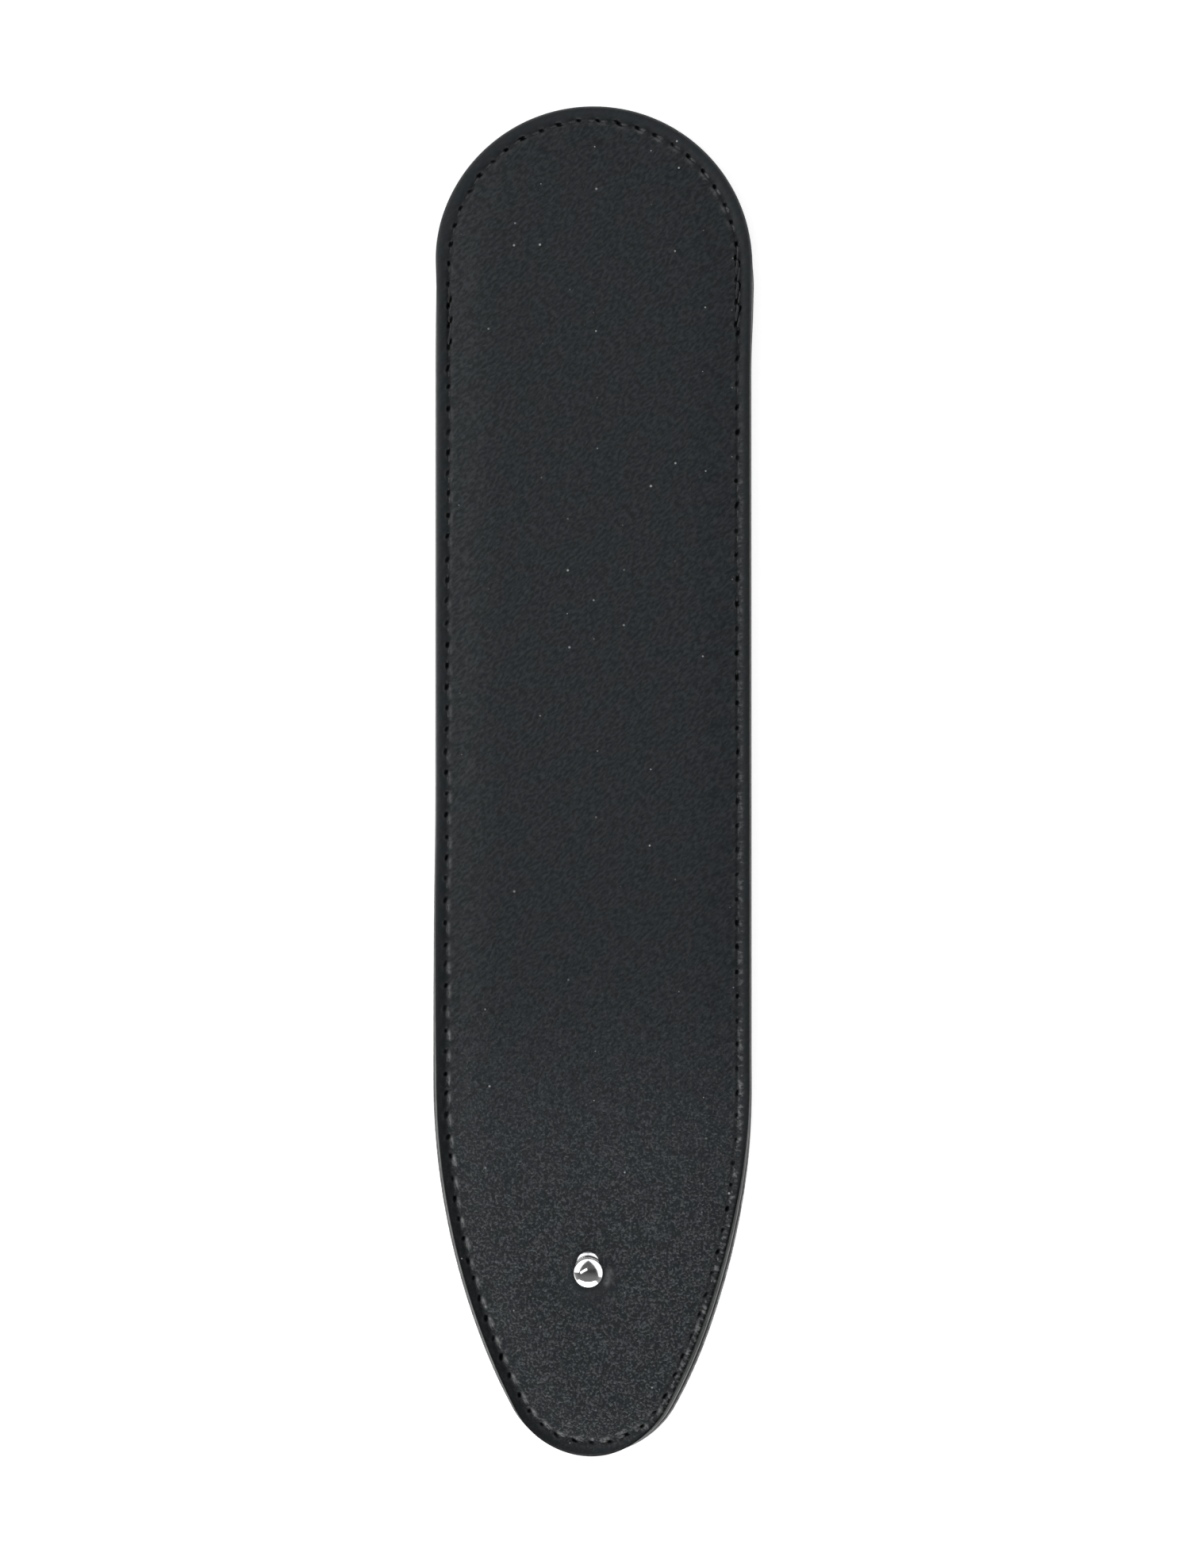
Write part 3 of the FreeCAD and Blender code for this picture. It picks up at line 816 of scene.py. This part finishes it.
def leather_material():
    """Fine black calf: tiny bumps, smooth outside the seam, faintly mottled, with a few dust specks."""
    n = Nodes(bpy.data.materials.new("black_calf"))
    toward_tip = n.ramp(n.along("Y"), 0.0, -0.062)
    net = n.ramp(n.noise(3500, 1, 0.4, distortion=0.5), 0.40, 0.86)
    creases = n.ramp(n.noise(3100, 1, 0.4, n.stretched((2.0, 1, 1), 42), 0.4), 0.27, 0.80)
    grain = n.blend(toward_tip, creases, net)
    field = n.ramp(n.attribute("inset"), 1.0, 2.6, 0.25, 1.0)
    flattened = n.ramp(n.attribute("pressed"), 0.0, 0.9, 1.0, 0.15)
    depth = n.product(n.ramp(toward_tip, 0.0, 1.0, 0.30, 0.88), field, flattened)
    ground = n.ramp(toward_tip, 0.0, 1.0, 0.43, 0.08)
    relief = n.product(n.math("SUBTRACT", grain, ground), depth)

    across = n.add("ShaderNodeCombineXYZ")
    n.link(n.attribute("along"), across.inputs[0])
    n.link(n.math("MULTIPLY", n.attribute("inset"), 0.5), across.inputs[1])
    streaks = n.ramp(n.noise(1.9, 2, 0.6, across.outputs[0]), 0.46, 0.66)
    puckers = n.product(streaks, n.attribute("pucker"))

    normal = n.bump(grain, 0.00007, depth)
    normal = n.bump(n.noise(380, 2, 0.5), 0.00006, 0.3, normal)
    normal = n.bump(puckers, 0.00008, 0.6, normal)

    # Painted shade: the face's colour and gloss are lowered in the stitch channel, along its cut edge, over
    # the lower left border and at the mouth corners
    bare = n.math("SUBTRACT", 1.0, n.attribute("painted_shade"))
    blotch = n.ramp(n.noise(260, 2, 0.5), 0.42, 0.6)
    tint = n.mix(blotch, (0.0135, 0.0175, 0.0200), (0.0150, 0.0168, 0.0204))
    # Grain ridges painted lighter and valleys darker, most toward the tip: painted shade in the valleys, with
    # some dirt, and a painted sheen on the ridges
    tint = n.scaled(tint, n.product(n.math("MULTIPLY_ADD", relief, 1.7, 1.0), bare))
    patches = n.ramp(n.noise(1900, 2, 0.6), 0.35, 0.6, 0.45, 1.0)
    # Painted highlights on the lips of the needle holes, on the puckers outside the seam and on the fold
    # beside the rivet; at the pocket's cut edge, worn edge paint and a painted highlight together
    highlight_and_wear_mask = n.product(n.math("ADD", n.attribute("wear_and_highlight"), n.math("MULTIPLY", puckers, 0.5)), patches)
    tint = n.mix(highlight_and_wear_mask, tint, (0.27, 0.275, 0.275))
    tint = n.mix(dust(n, 3.4 * MM, 0.17), tint, (0.36, 0.37, 0.37))
    # Painted shade in the needle holes: the pits are painted near black
    tint = n.mix(n.attribute("pit"), tint, (0.002, 0.002, 0.0022))
    roughness = n.ramp(n.noise(700, 3, 0.6), 0.3, 0.7, 0.42, 0.52)
    opened = n.math("MULTIPLY_ADD", n.attribute("pit"), -0.93, 1.0)
    gloss = n.product(n.math("MULTIPLY_ADD", relief, 0.85, 0.36), bare, opened)
    return n.finish(tint, roughness, normal, gloss)


def edge_material():
    """Burnished edge paint over cut leather, with fibres and grey wear that is partly a painted highlight on
    the rounded edge.
    """
    n = Nodes(bpy.data.materials.new("edge_paint"))
    fibre = n.noise(1500, 3, 0.65, n.stretched((1, 3, 0.5)))
    highlight_and_wear_mask = n.ramp(n.noise(420, 4, 0.6, n.stretched((1, 2, 1))), 0.38, 0.6, 0.3, 1.0)
    tint = n.mix(n.product(highlight_and_wear_mask, n.attribute("wear_and_highlight")), (0.045, 0.046, 0.048), (0.24, 0.245, 0.245))
    return n.finish(tint, n.ramp(fibre, 0.3, 0.7, 0.34, 0.52), n.bump(fibre, 0.00005, 0.5))


def suede_material():
    """Short-napped black lining."""
    n = Nodes(bpy.data.materials.new("suede_lining"))
    nap = n.noise(5200, 3, 0.7)
    swirl = n.noise(240, 3, 0.55, distortion=0.8)
    tint = n.mix(n.ramp(swirl, 0.35, 0.65), (0.018, 0.018, 0.020), (0.030, 0.030, 0.033))
    tint = n.mix(n.ramp(nap, 0.35, 0.7), tint, (0.042, 0.042, 0.046))
    rough = n.ramp(nap, 0.3, 0.7, 0.8, 0.95)
    return n.finish(tint, rough, n.bump(nap, 0.0001, 0.8), Sheen_Weight=0.35, Sheen_Roughness=0.4)


def facing_material():
    """Smooth thin leather inside the mouth."""
    n = Nodes(bpy.data.materials.new("skiver_facing"))
    pores = n.cells(3200)
    tint = n.mix(n.ramp(n.noise(300, 3), 0.35, 0.65), (0.013, 0.013, 0.014), (0.021, 0.021, 0.022))
    return n.finish(tint, n.ramp(pores, 0.1, 0.6, 0.42, 0.55), n.bump(pores, 0.00006, 0.5))


def board_material():
    """Pressed leather-fibre board inside the panels."""
    n = Nodes(bpy.data.materials.new("fibre_board"))
    fibre = n.noise(900, 5, 0.7, n.stretched((1, 4, 1)))
    tint = n.mix(n.ramp(fibre, 0.35, 0.65), (0.16, 0.11, 0.07), (0.27, 0.20, 0.13))
    return n.finish(tint, n.ramp(fibre, 0.3, 0.7, 0.75, 0.9), n.bump(fibre, 0.0001, 0.6))


def thread_material():
    """Bonded black polyester thread."""
    n = Nodes(bpy.data.materials.new("bonded_thread"))
    fibre = n.noise(6500, 2, 0.6)
    tint = n.mix(n.ramp(fibre, 0.35, 0.7), (0.012, 0.0125, 0.014), (0.026, 0.027, 0.030))
    # Painted highlight: each stitch is painted pale near its crest, where it stands out
    stitch_glint = n.product(n.attribute("stitch_glint"), n.ramp(n.noise(2600, 2, 0.6), 0.35, 0.62, 0.25, 1.0))
    tint = n.mix(stitch_glint, tint, (0.40, 0.40, 0.405))
    return n.finish(tint, n.ramp(fibre, 0.3, 0.7, 0.36, 0.5), n.bump(fibre, 0.00002, 0.6), gloss=0.4)


def nickel_material():
    """Bright nickel plate with fine handling marks."""
    n = Nodes(bpy.data.materials.new("nickel_plate"))
    scratch = n.noise(2600, 2, 0.5, n.stretched((12, 1, 1), 40))
    smear = n.noise(500, 3, 0.6)
    tint = n.mix(n.ramp(smear, 0.35, 0.65), (0.80, 0.80, 0.81), (0.70, 0.70, 0.72))
    roughness = n.ramp(scratch, 0.35, 0.75, 0.10, 0.17)
    return n.finish(tint, roughness, n.bump(scratch, 0.00001, 0.15), Metallic=1.0)


def shank_material():
    """Drawn steel of the rivet's post."""
    n = Nodes(bpy.data.materials.new("drawn_steel"))
    lines = n.noise(2500, 2, 0.5, n.stretched((1, 1, 10)))
    tint = n.mix(lines, (0.52, 0.52, 0.53), (0.64, 0.64, 0.65))
    return n.finish(tint, n.ramp(lines, 0.3, 0.7, 0.25, 0.4), n.bump(lines, 0.00001, 0.3), Metallic=1.0)


# === Thread ===
THREAD_RADIUS = 0.21 * MM
THREAD_SIDES = 12
TWIST_PER_METRE = 2 * math.pi / (1.15 * MM)
PLY_STEP = 1.3


def thread_points(path, start_turn):
    """Rings of points of a three-ply thread along a path."""
    path = np.asarray(path)
    tangent = np.gradient(path, axis=0)
    tangent /= np.linalg.norm(tangent, axis=1)[:, None]
    side = np.cross(tangent, [0, 0, 1.0])
    side /= np.linalg.norm(side, axis=1)[:, None]
    up = np.cross(side, tangent)
    run = np.concatenate([[0], np.cumsum(np.linalg.norm(np.diff(path, axis=0), axis=1))])
    angles = np.linspace(0, 2 * math.pi, THREAD_SIDES, endpoint=False)
    vertices = []
    for index, centre in enumerate(path):
        turn = start_turn + run[index] * TWIST_PER_METRE
        radius = THREAD_RADIUS * (0.92 + 0.12 * np.cos(3 * (angles - turn)))
        ring = np.outer(radius * np.cos(angles), side[index]) + np.outer(radius * np.sin(angles), up[index])
        vertices += (centre + ring).tolist()
    return vertices


def thread_row(name, paths, material):
    """One mesh of all stitches of a row."""
    vertices = []
    faces = []
    for index, path in enumerate(paths):
        first = len(vertices)
        faces += [tuple(corner + first for corner in face) for face in tube_faces(len(path), THREAD_SIDES)]
        vertices += thread_points(path, index * PLY_STEP)
    return clean(new_object(name, vertices, faces, material), merge=0.0001 * MM)


RUN_STEPS = (1 - np.cos(np.linspace(0, math.pi, 17))) / 2
THREAD_PROUD = -0.02 * MM
THREAD_LIFT = 0.19 * MM
HOLE_REACH = 0.30 * MM
HOLE_DROP = 0.5 * MM
SECOND_PASS_LIFT = 0.07 * MM

# How far each stitch swings inward where it stands out, and a share that sets how far it stands out and how
# pale a highlight is painted on it there
stitch_swing = along_sides(
    right=((0, 0.1), (20, -0.1), (40, -0.2), (140, -0.3), (178, -0.25), (187, 0.2), (190, 0.3)),
    left=((20, 0.1), (40, 0.2), (140, 0.28), (172, 0.33), (190, 0.3)),
)
stitch_lift_and_highlight = along_sides(
    right=((0, 0.1), (16, 0.2), (26, 0.2), (30, 0), (40, 0), (60, 0.1), (130, 0.1), (146, 0.4)),
    left=((20, 0.05), (30, 0), (44, 0), (60, 0.1), (120, 0.12), (140, 0.25), (165, 0.4)),
    unit=1,
)


def run_height(t, floor, sign, crest=0.5, share=0.6):
    """Height of a stitch from hole to hole: deep in the holes and proud only near its crest."""
    arch = 1 - np.abs(2 * t - 1) ** 6
    lift = share * THREAD_LIFT * bell(t - crest, 0.22)
    return floor + sign * (THREAD_PROUD + lift - THREAD_RADIUS - HOLE_DROP * (1 - arch))


def seam_path(start, end, start_inset, end_inset, floor, sign):
    """The path of one stitch along the perimeter. It stands out most just below its upper hole."""
    s = start + HOLE_REACH + (end - start - 2 * HOLE_REACH) * RUN_STEPS
    crest = 0.27 if start < HALF_LOOP else 0.73
    swing = stitch_swing(s) * bell(RUN_STEPS - crest, 0.3)
    inset = start_inset + (end_inset - start_inset) * RUN_STEPS + swing
    share = 0.5 + 0.5 * stitch_lift_and_highlight(s)
    x, y, nx, ny = outline_point(s)
    return np.stack([x - nx * inset, y - ny * inset, run_height(RUN_STEPS, floor, sign, crest, share)], 1)


def stitch_highlight(x, y):
    """Painted highlight on each stitch of the perimeter seam: how pale it is painted, most at its crest."""
    s = outline_place(x, y)
    index, below = below_pit(s)
    return stitch_lift_and_highlight(s) * GLINT_SHARES[index] * bell(below - 0.85 * MM, 0.55 * MM)


def seam_runs():
    """Start, end and insets of every stitch of the perimeter seam."""
    ends = np.append(HOLES[1:], HOLES[0] + LOOP)
    return zip(HOLES, ends, HOLE_INSETS, np.roll(HOLE_INSETS, -1))


def tack_runs():
    """The seam's second pass at the mouth corners: three stitches on the right and two on the left."""
    for holes in (TACK_RIGHT, TACK_LEFT):
        for start, end in zip(holes, holes[1:]):
            yield start, end, float(seam_inset(start)) + TACK_SHIFT, float(seam_inset(end)) + TACK_SHIFT


def make_threads(material):
    face_floor = FACE_BORDER_Z - CHANNEL_DEPTH
    pocket_floor = POCKET_BORDER_Z + CHANNEL_DEPTH
    lining_floor = FACE_LINING[0].z
    needle = [seam_path(*run, face_floor, 1) for run in seam_runs()]
    needle += [seam_path(*run, face_floor + SECOND_PASS_LIFT, 1) for run in tack_runs()]
    bobbin = []
    for run in seam_runs():
        below_mouth = min(run[0], run[1] % LOOP) > MOUTH_S and max(run[:2]) < LOOP - MOUTH_S
        bobbin.append(seam_path(*run, pocket_floor if below_mouth else lining_floor, -1))
    bobbin += [seam_path(*run, pocket_floor - SECOND_PASS_LIFT, -1) for run in tack_runs()]
    return thread_row("face_stitches", needle, material), thread_row("back_stitches", bobbin, material)


MOUTH_ROW_INSET = 1.8 * MM
MOUTH_ROW_HALF = 17.6 * MM
MOUTH_STITCHES = 13
MOUTH_HOLES = np.linspace(-MOUTH_ROW_HALF, MOUTH_ROW_HALF, MOUTH_STITCHES + 1)


def mouth_path(start, end, floor, sign):
    x = start + (end - start) * RUN_STEPS
    y = MOUTH_Y - MOUTH_ROW_INSET + 0.1 * MM * (1 - 2 * RUN_STEPS)
    return np.stack([x, y, run_height(RUN_STEPS, floor, sign)], 1)


def make_mouth_threads(material):
    runs = list(zip(MOUTH_HOLES, MOUTH_HOLES[1:]))
    outside = [mouth_path(a, b, POCKET_BORDER_Z + CHANNEL_DEPTH, -1) for a, b in runs]
    limit = HALF_WIDTH - WELT_WIDTH
    inside = [mouth_path(a, b, FACING_HIGH.z, 1) for a, b in runs if max(abs(a), abs(b)) < limit]
    return (
        thread_row("mouth_stitches_outside", outside, material),
        thread_row("mouth_stitches_inside", inside, material),
    )


# === Rivet ===
SPIN_STEPS = 96
WASHER_TILT = 0.2 * MM
WASHER_TURN = math.radians(6)


def revolve(name, profile, material):
    """A closed solid of revolution about the rivet's axis, from (radius, height) points."""
    profile = np.asarray(profile)
    angles = np.linspace(0, 2 * math.pi, SPIN_STEPS, endpoint=False)
    rings = []
    for radius, height in profile:
        ring = np.stack([RIVET_X + radius * np.cos(angles), RIVET_Y + radius * np.sin(angles)], 1)
        rings.append(np.column_stack([ring, np.full(SPIN_STEPS, height)]))
    faces = grid_faces(len(rings), SPIN_STEPS)
    return clean(new_object(name, np.concatenate(rings), faces, material), merge=0.0001 * MM)


def arc_profile(centre, radius, start, end, steps):
    angles = np.radians(np.linspace(start, end, steps))
    return [(centre[0] + radius * math.cos(a), centre[1] + radius * math.sin(a)) for a in angles]


def make_cap(material):
    """The domed cap with a rounded foot that stands on the washer."""
    radius = (CAP_HIGH.x - CAP_LOW.x) / 2
    height = CAP_HIGH.z - CAP_LOW.z
    foot = 0.45 * MM
    rise = height - foot
    sphere = (radius**2 + rise**2) / (2 * rise)
    edge_angle = math.degrees(math.asin((sphere - rise) / sphere))
    centre = (0, CAP_HIGH.z - sphere)
    dome = arc_profile(centre, sphere, 90, edge_angle + 3, 36)
    dome[0] = (0, CAP_HIGH.z)
    low = CAP_LOW.z
    foot_curve = [(radius, low + foot * 0.75), (radius * 0.985, low + foot * 0.3), (radius * 0.95, low)]
    return revolve("rivet_dome", dome + foot_curve + [(0, low)], material)


def make_washer(material):
    """The thin ring under the cap: flat beneath it, sloping to its rim, and set askew into the leather."""
    outer = (WASHER_HIGH.x - WASHER_LOW.x) / 2
    inner = outer * 0.36
    low = WASHER_LOW.z
    high = WASHER_HIGH.z
    flat = [(inner, high), (outer * 0.775, high), (outer * 0.80, high - 0.01 * MM)]
    slope = [(outer * (0.84 + 0.038 * step), high - (0.08 + 0.078 * step) * MM) for step in range(4)]
    rim = [(outer, low)]
    made = revolve("rivet_ring", flat + slope + rim + [(inner, low), flat[0]], material)
    across, upward = math.sin(WASHER_TURN), math.cos(WASHER_TURN)
    for vertex in made.data.vertices:
        along = (vertex.co.y - RIVET_Y) * upward - (vertex.co.x - RIVET_X) * across
        vertex.co.z -= WASHER_TILT * (1 - along / outer) / 2
    return made


def make_back_cap(material):
    """The flat back cap with a rounded rim and the setting tool's shallow dimple."""
    radius = (BACK_CAP_HIGH.x - BACK_CAP_LOW.x) / 2
    low = BACK_CAP_LOW.z
    high = BACK_CAP_HIGH.z
    dimple = [(0, low + 0.12 * MM), (0.5 * MM, low + 0.10 * MM), (0.9 * MM, low + 0.02 * MM), (1.2 * MM, low)]
    rim = arc_profile((radius - 0.2 * MM, low + 0.2 * MM), 0.2 * MM, -90, 0, 8)
    return revolve("rivet_back", dimple + rim + [(radius, high), (0, high)], material)


# === Camera, lights and floor ===
LENS = 100.0
SENSOR = 36.0
VIEW_HEIGHT = 196.7 * MM
VIEW_X = 0.2 * MM
VIEW_Y = -0.22 * MM


def make_camera():
    """Straight above the sheath, framed as wide as it is seen."""
    data = bpy.data.cameras.new("camera")
    data.lens = LENS
    data.sensor_width = SENSOR
    camera = place_object("camera", data)
    camera.location = (VIEW_X, VIEW_Y, FACE_HIGH.z + VIEW_HEIGHT * LENS / SENSOR)
    bpy.context.scene.camera = camera


WALL_DISTANCE = 0.62


def softbox(name, centre, facing, size, radiance, roll=0.0):
    """A rectangular light of an even radiance, its size given across and upward, rolled in degrees."""
    data = bpy.data.lights.new(name, "AREA")
    data.shape = "RECTANGLE"
    data.size, data.size_y = size
    data.energy = radiance * math.pi * size[0] * size[1]
    light = place_object(name, data)
    light.location = centre
    aim = (-Vector(facing)).to_track_quat("Z", "Y") @ Quaternion((0, 0, 1), math.radians(roll))
    light.rotation_euler = aim.to_euler()
    light.visible_camera = False


def wall_light(name, facing_from, start, end, height, radiance):
    """A softbox that stands like a wall at the azimuth facing_from and covers start to end, in degrees."""
    outward = Vector((math.cos(math.radians(facing_from)), math.sin(math.radians(facing_from)), 0))
    along = Vector((-outward.y, outward.x, 0))
    first = WALL_DISTANCE * math.tan(math.radians(start - facing_from))
    last = WALL_DISTANCE * math.tan(math.radians(end - facing_from))
    centre = outward * WALL_DISTANCE + along * (first + last) / 2 + Vector((0, 0, height / 2 + 0.01))
    softbox(name, centre, -outward, (last - first, height), radiance)


# Name, azimuth faced from, start and end in degrees, height in metres, radiance
WALLS = (
    ("upper_left_wall", 150, 91, 165, 0.64, 1.3),
    ("left_wall", 150, 165, 187, 0.64, 2.4),
    ("right_wall", 30, -27, 90, 0.64, 1.3),
    ("near_wall", 270, 222, 306, 0.42, 3.2),
    ("low_wall", 210, 190, 222, 0.13, 1.3),
)
KEY_PLACE = Vector((-0.28, 0.03, 0.64))


def make_lights():
    """Pale walls around the sheath and a slim key light high on the left."""
    for wall in WALLS:
        wall_light(*wall)
    softbox("high_box", KEY_PLACE, -KEY_PLACE, (0.12, 0.50), 3.2, roll=37)


# Each adds to the sky's radiance, along one axis of the direction looked in: axis, from, to, radiance there
SKY = (
    ("Z", 0.15, 0.7, 0.14, 0.0),
    ("Z", 0.03, 0.16, 0.7, 0.0),
    ("Y", -0.6, 0.2, 0.20, 0.045),
    ("Y", 0.05, 0.5, 0.0, 0.08),
)


def make_world():
    """A pale studio: bright at the horizon and darker overhead, where the camera stands."""
    world = bpy.data.worlds.new("studio")
    n = Nodes(world, "Generated")
    strength = 0.0
    for axis, *span in SKY:
        strength = n.math("ADD", strength, n.ramp(n.along(axis), *span))
    background = n.tree.nodes["Background"]
    n.put((1, 1, 1), background.inputs["Color"])
    n.put(strength, background.inputs["Strength"])
    bpy.context.scene.world = world


def make_floor():
    """A pale floor with a barely uneven tone."""
    size = 3.0
    corners = [(-size, -size, 0), (size, -size, 0), (size, size, 0), (-size, size, 0)]
    n = Nodes(bpy.data.materials.new("pale_floor"))
    tint = n.mix(n.noise(6, 2), (0.90, 0.90, 0.90), (0.92, 0.92, 0.92))
    glow = {"Emission_Color": (1, 1, 1, 1), "Emission_Strength": 0.55}
    floor = new_object("floor", corners, [(0, 1, 2, 3)], n.finish(tint, 0.9, **glow))


# === Assembly ===


def outline_inset(x, y):
    """Distance in from the nominal outline at any place on the sheath."""
    side = np.abs(x)
    round_top = HALF_WIDTH - np.hypot(side, y - TOP_CENTRE_Y)
    taper = SIDE_ARC - np.hypot(side + ARC_CENTRE_X, y - TAPER_Y)
    nose = NOSE - np.hypot(side, y - NOSE_CENTRE_Y)
    at_nose = np.arctan2(y - TAPER_Y, side + ARC_CENTRE_X) < -TURN
    below = np.where(at_nose, nose, taper)
    return np.where(y > TOP_CENTRE_Y, round_top, np.where(y > TAPER_Y, HALF_WIDTH - side, below))


def outline_place(x, y):
    """The distance s of the outline's point nearest to each place."""
    side = np.abs(x)
    top = HALF_WIDTH * (math.pi / 2 - np.arctan2(y - TOP_CENTRE_Y, side))
    straight = TOP_LENGTH + TOP_CENTRE_Y - y
    turn = -np.arctan2(y - TAPER_Y, side + ARC_CENTRE_X)
    taper = TOP_LENGTH + SIDE_LENGTH + SIDE_ARC * turn
    nose_turn = -np.arctan2(y - NOSE_CENTRE_Y, side) - TURN
    nose = TOP_LENGTH + SIDE_LENGTH + TAPER_LENGTH + NOSE * nose_turn
    below = np.where(turn > TURN, nose, taper)
    along = np.where(y > TOP_CENTRE_Y, top, np.where(y > TAPER_Y, straight, below))
    return np.where(x >= 0, along, LOOP - along)


def flattened_grain(x, y):
    """1 just below the rivet, where setting it has pressed the grain flat, falling to 0 around it."""
    return bell(rivet_distance(x - 0.3 * MM, y + 0.9 * MM), 3.1 * MM)


def face_highlight(x, y):
    """How pale the face is painted: painted highlights on the inner lips of its needle holes and on the fold
    beside the rivet.
    """
    return lip_highlight(outline_place(x, y), outline_inset(x, y)) + 0.35 * rivet_pucker(x, y)


def pocket_wear_and_highlight(x, y):
    """How pale the pocket panel is painted, most at its cut edge: worn edge paint and a painted highlight on
    its rounded edge together.
    """
    s = outline_place(x, y)
    within = outline_inset(x, y) - pocket_edge(s)
    return ledge_wear_and_highlight(s) * smoothstep(1.1 * MM, 0.22 * MM, within)


def paint_leather(made, wear_and_highlight):
    """Gives a panel the values its material reads. Its last argument gives, at (x, y), how pale the panel is
    painted for wear and for painted highlights.
    """
    painted = {
        "inset": lambda s, inset: inset / MM,
        "along": lambda s, inset: s / MM,
        "pit": pit_painted_shade,
        "painted_shade": border_shade,
        "pucker": pucker_shade,
    }
    for name, value in painted.items():
        paint(made, name, lambda x, y, z: value(outline_place(x, y), outline_inset(x, y)))
    paint(made, "wear_and_highlight", lambda x, y, z: wear_and_highlight(x, y))
    paint(made, "pressed", lambda x, y, z: flattened_grain(x, y))


def show(piece, node):
    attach(piece, "root")
    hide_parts(node)


def redress(node, material):
    """Gives a CAD node its finished material."""
    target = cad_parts[node]
    target.data.materials.clear()
    target.data.materials.append(material)


def make_sheath():
    leather = leather_material()
    suede = suede_material()
    thread = thread_material()
    nickel = nickel_material()

    face = make_face_leather(leather)
    pocket = make_pocket_leather(leather)
    paint_leather(face, face_highlight)
    paint_leather(pocket, pocket_wear_and_highlight)
    show(face, "face_panel")
    show(pocket, "pocket_panel")

    show(make_flat_layer("face_lining_sheet", False, 0.2, FACE_LINING, suede), "face_lining")
    show(make_flat_layer("pocket_lining_sheet", True, 0.8, POCKET_LINING, suede), "pocket_lining")
    show(make_facing(facing_material()), "mouth_facing")
    welt = make_welt(edge_material())
    # Worn edge paint and a painted highlight on the welt's rounded edge
    paint(welt, "wear_and_highlight", lambda x, y, z: 0.4 * ledge_wear_and_highlight(outline_place(x, y)))
    show(welt, "welt")

    face_stitches, back_stitches = make_threads(thread)
    # Painted highlight on the stitches' crests
    paint(face_stitches, "stitch_glint", lambda x, y, z: stitch_highlight(x, y))
    show(face_stitches, "seam_needle_thread")
    show(back_stitches, "seam_bobbin_thread")
    outside, inside = make_mouth_threads(thread)
    show(outside, "mouth_needle_thread")
    show(inside, "mouth_bobbin_thread")

    show(make_cap(nickel), "rivet_cap")
    show(make_washer(nickel), "rivet_washer")
    show(make_back_cap(nickel), "rivet_back_cap")
    redress("rivet_post", shank_material())
    board = board_material()
    redress("face_stiffener", board)
    redress("pocket_stiffener", board)


make_camera()
make_lights()
make_world()
make_floor()
make_sheath()
bpy.context.scene.view_settings.view_transform = "Standard"
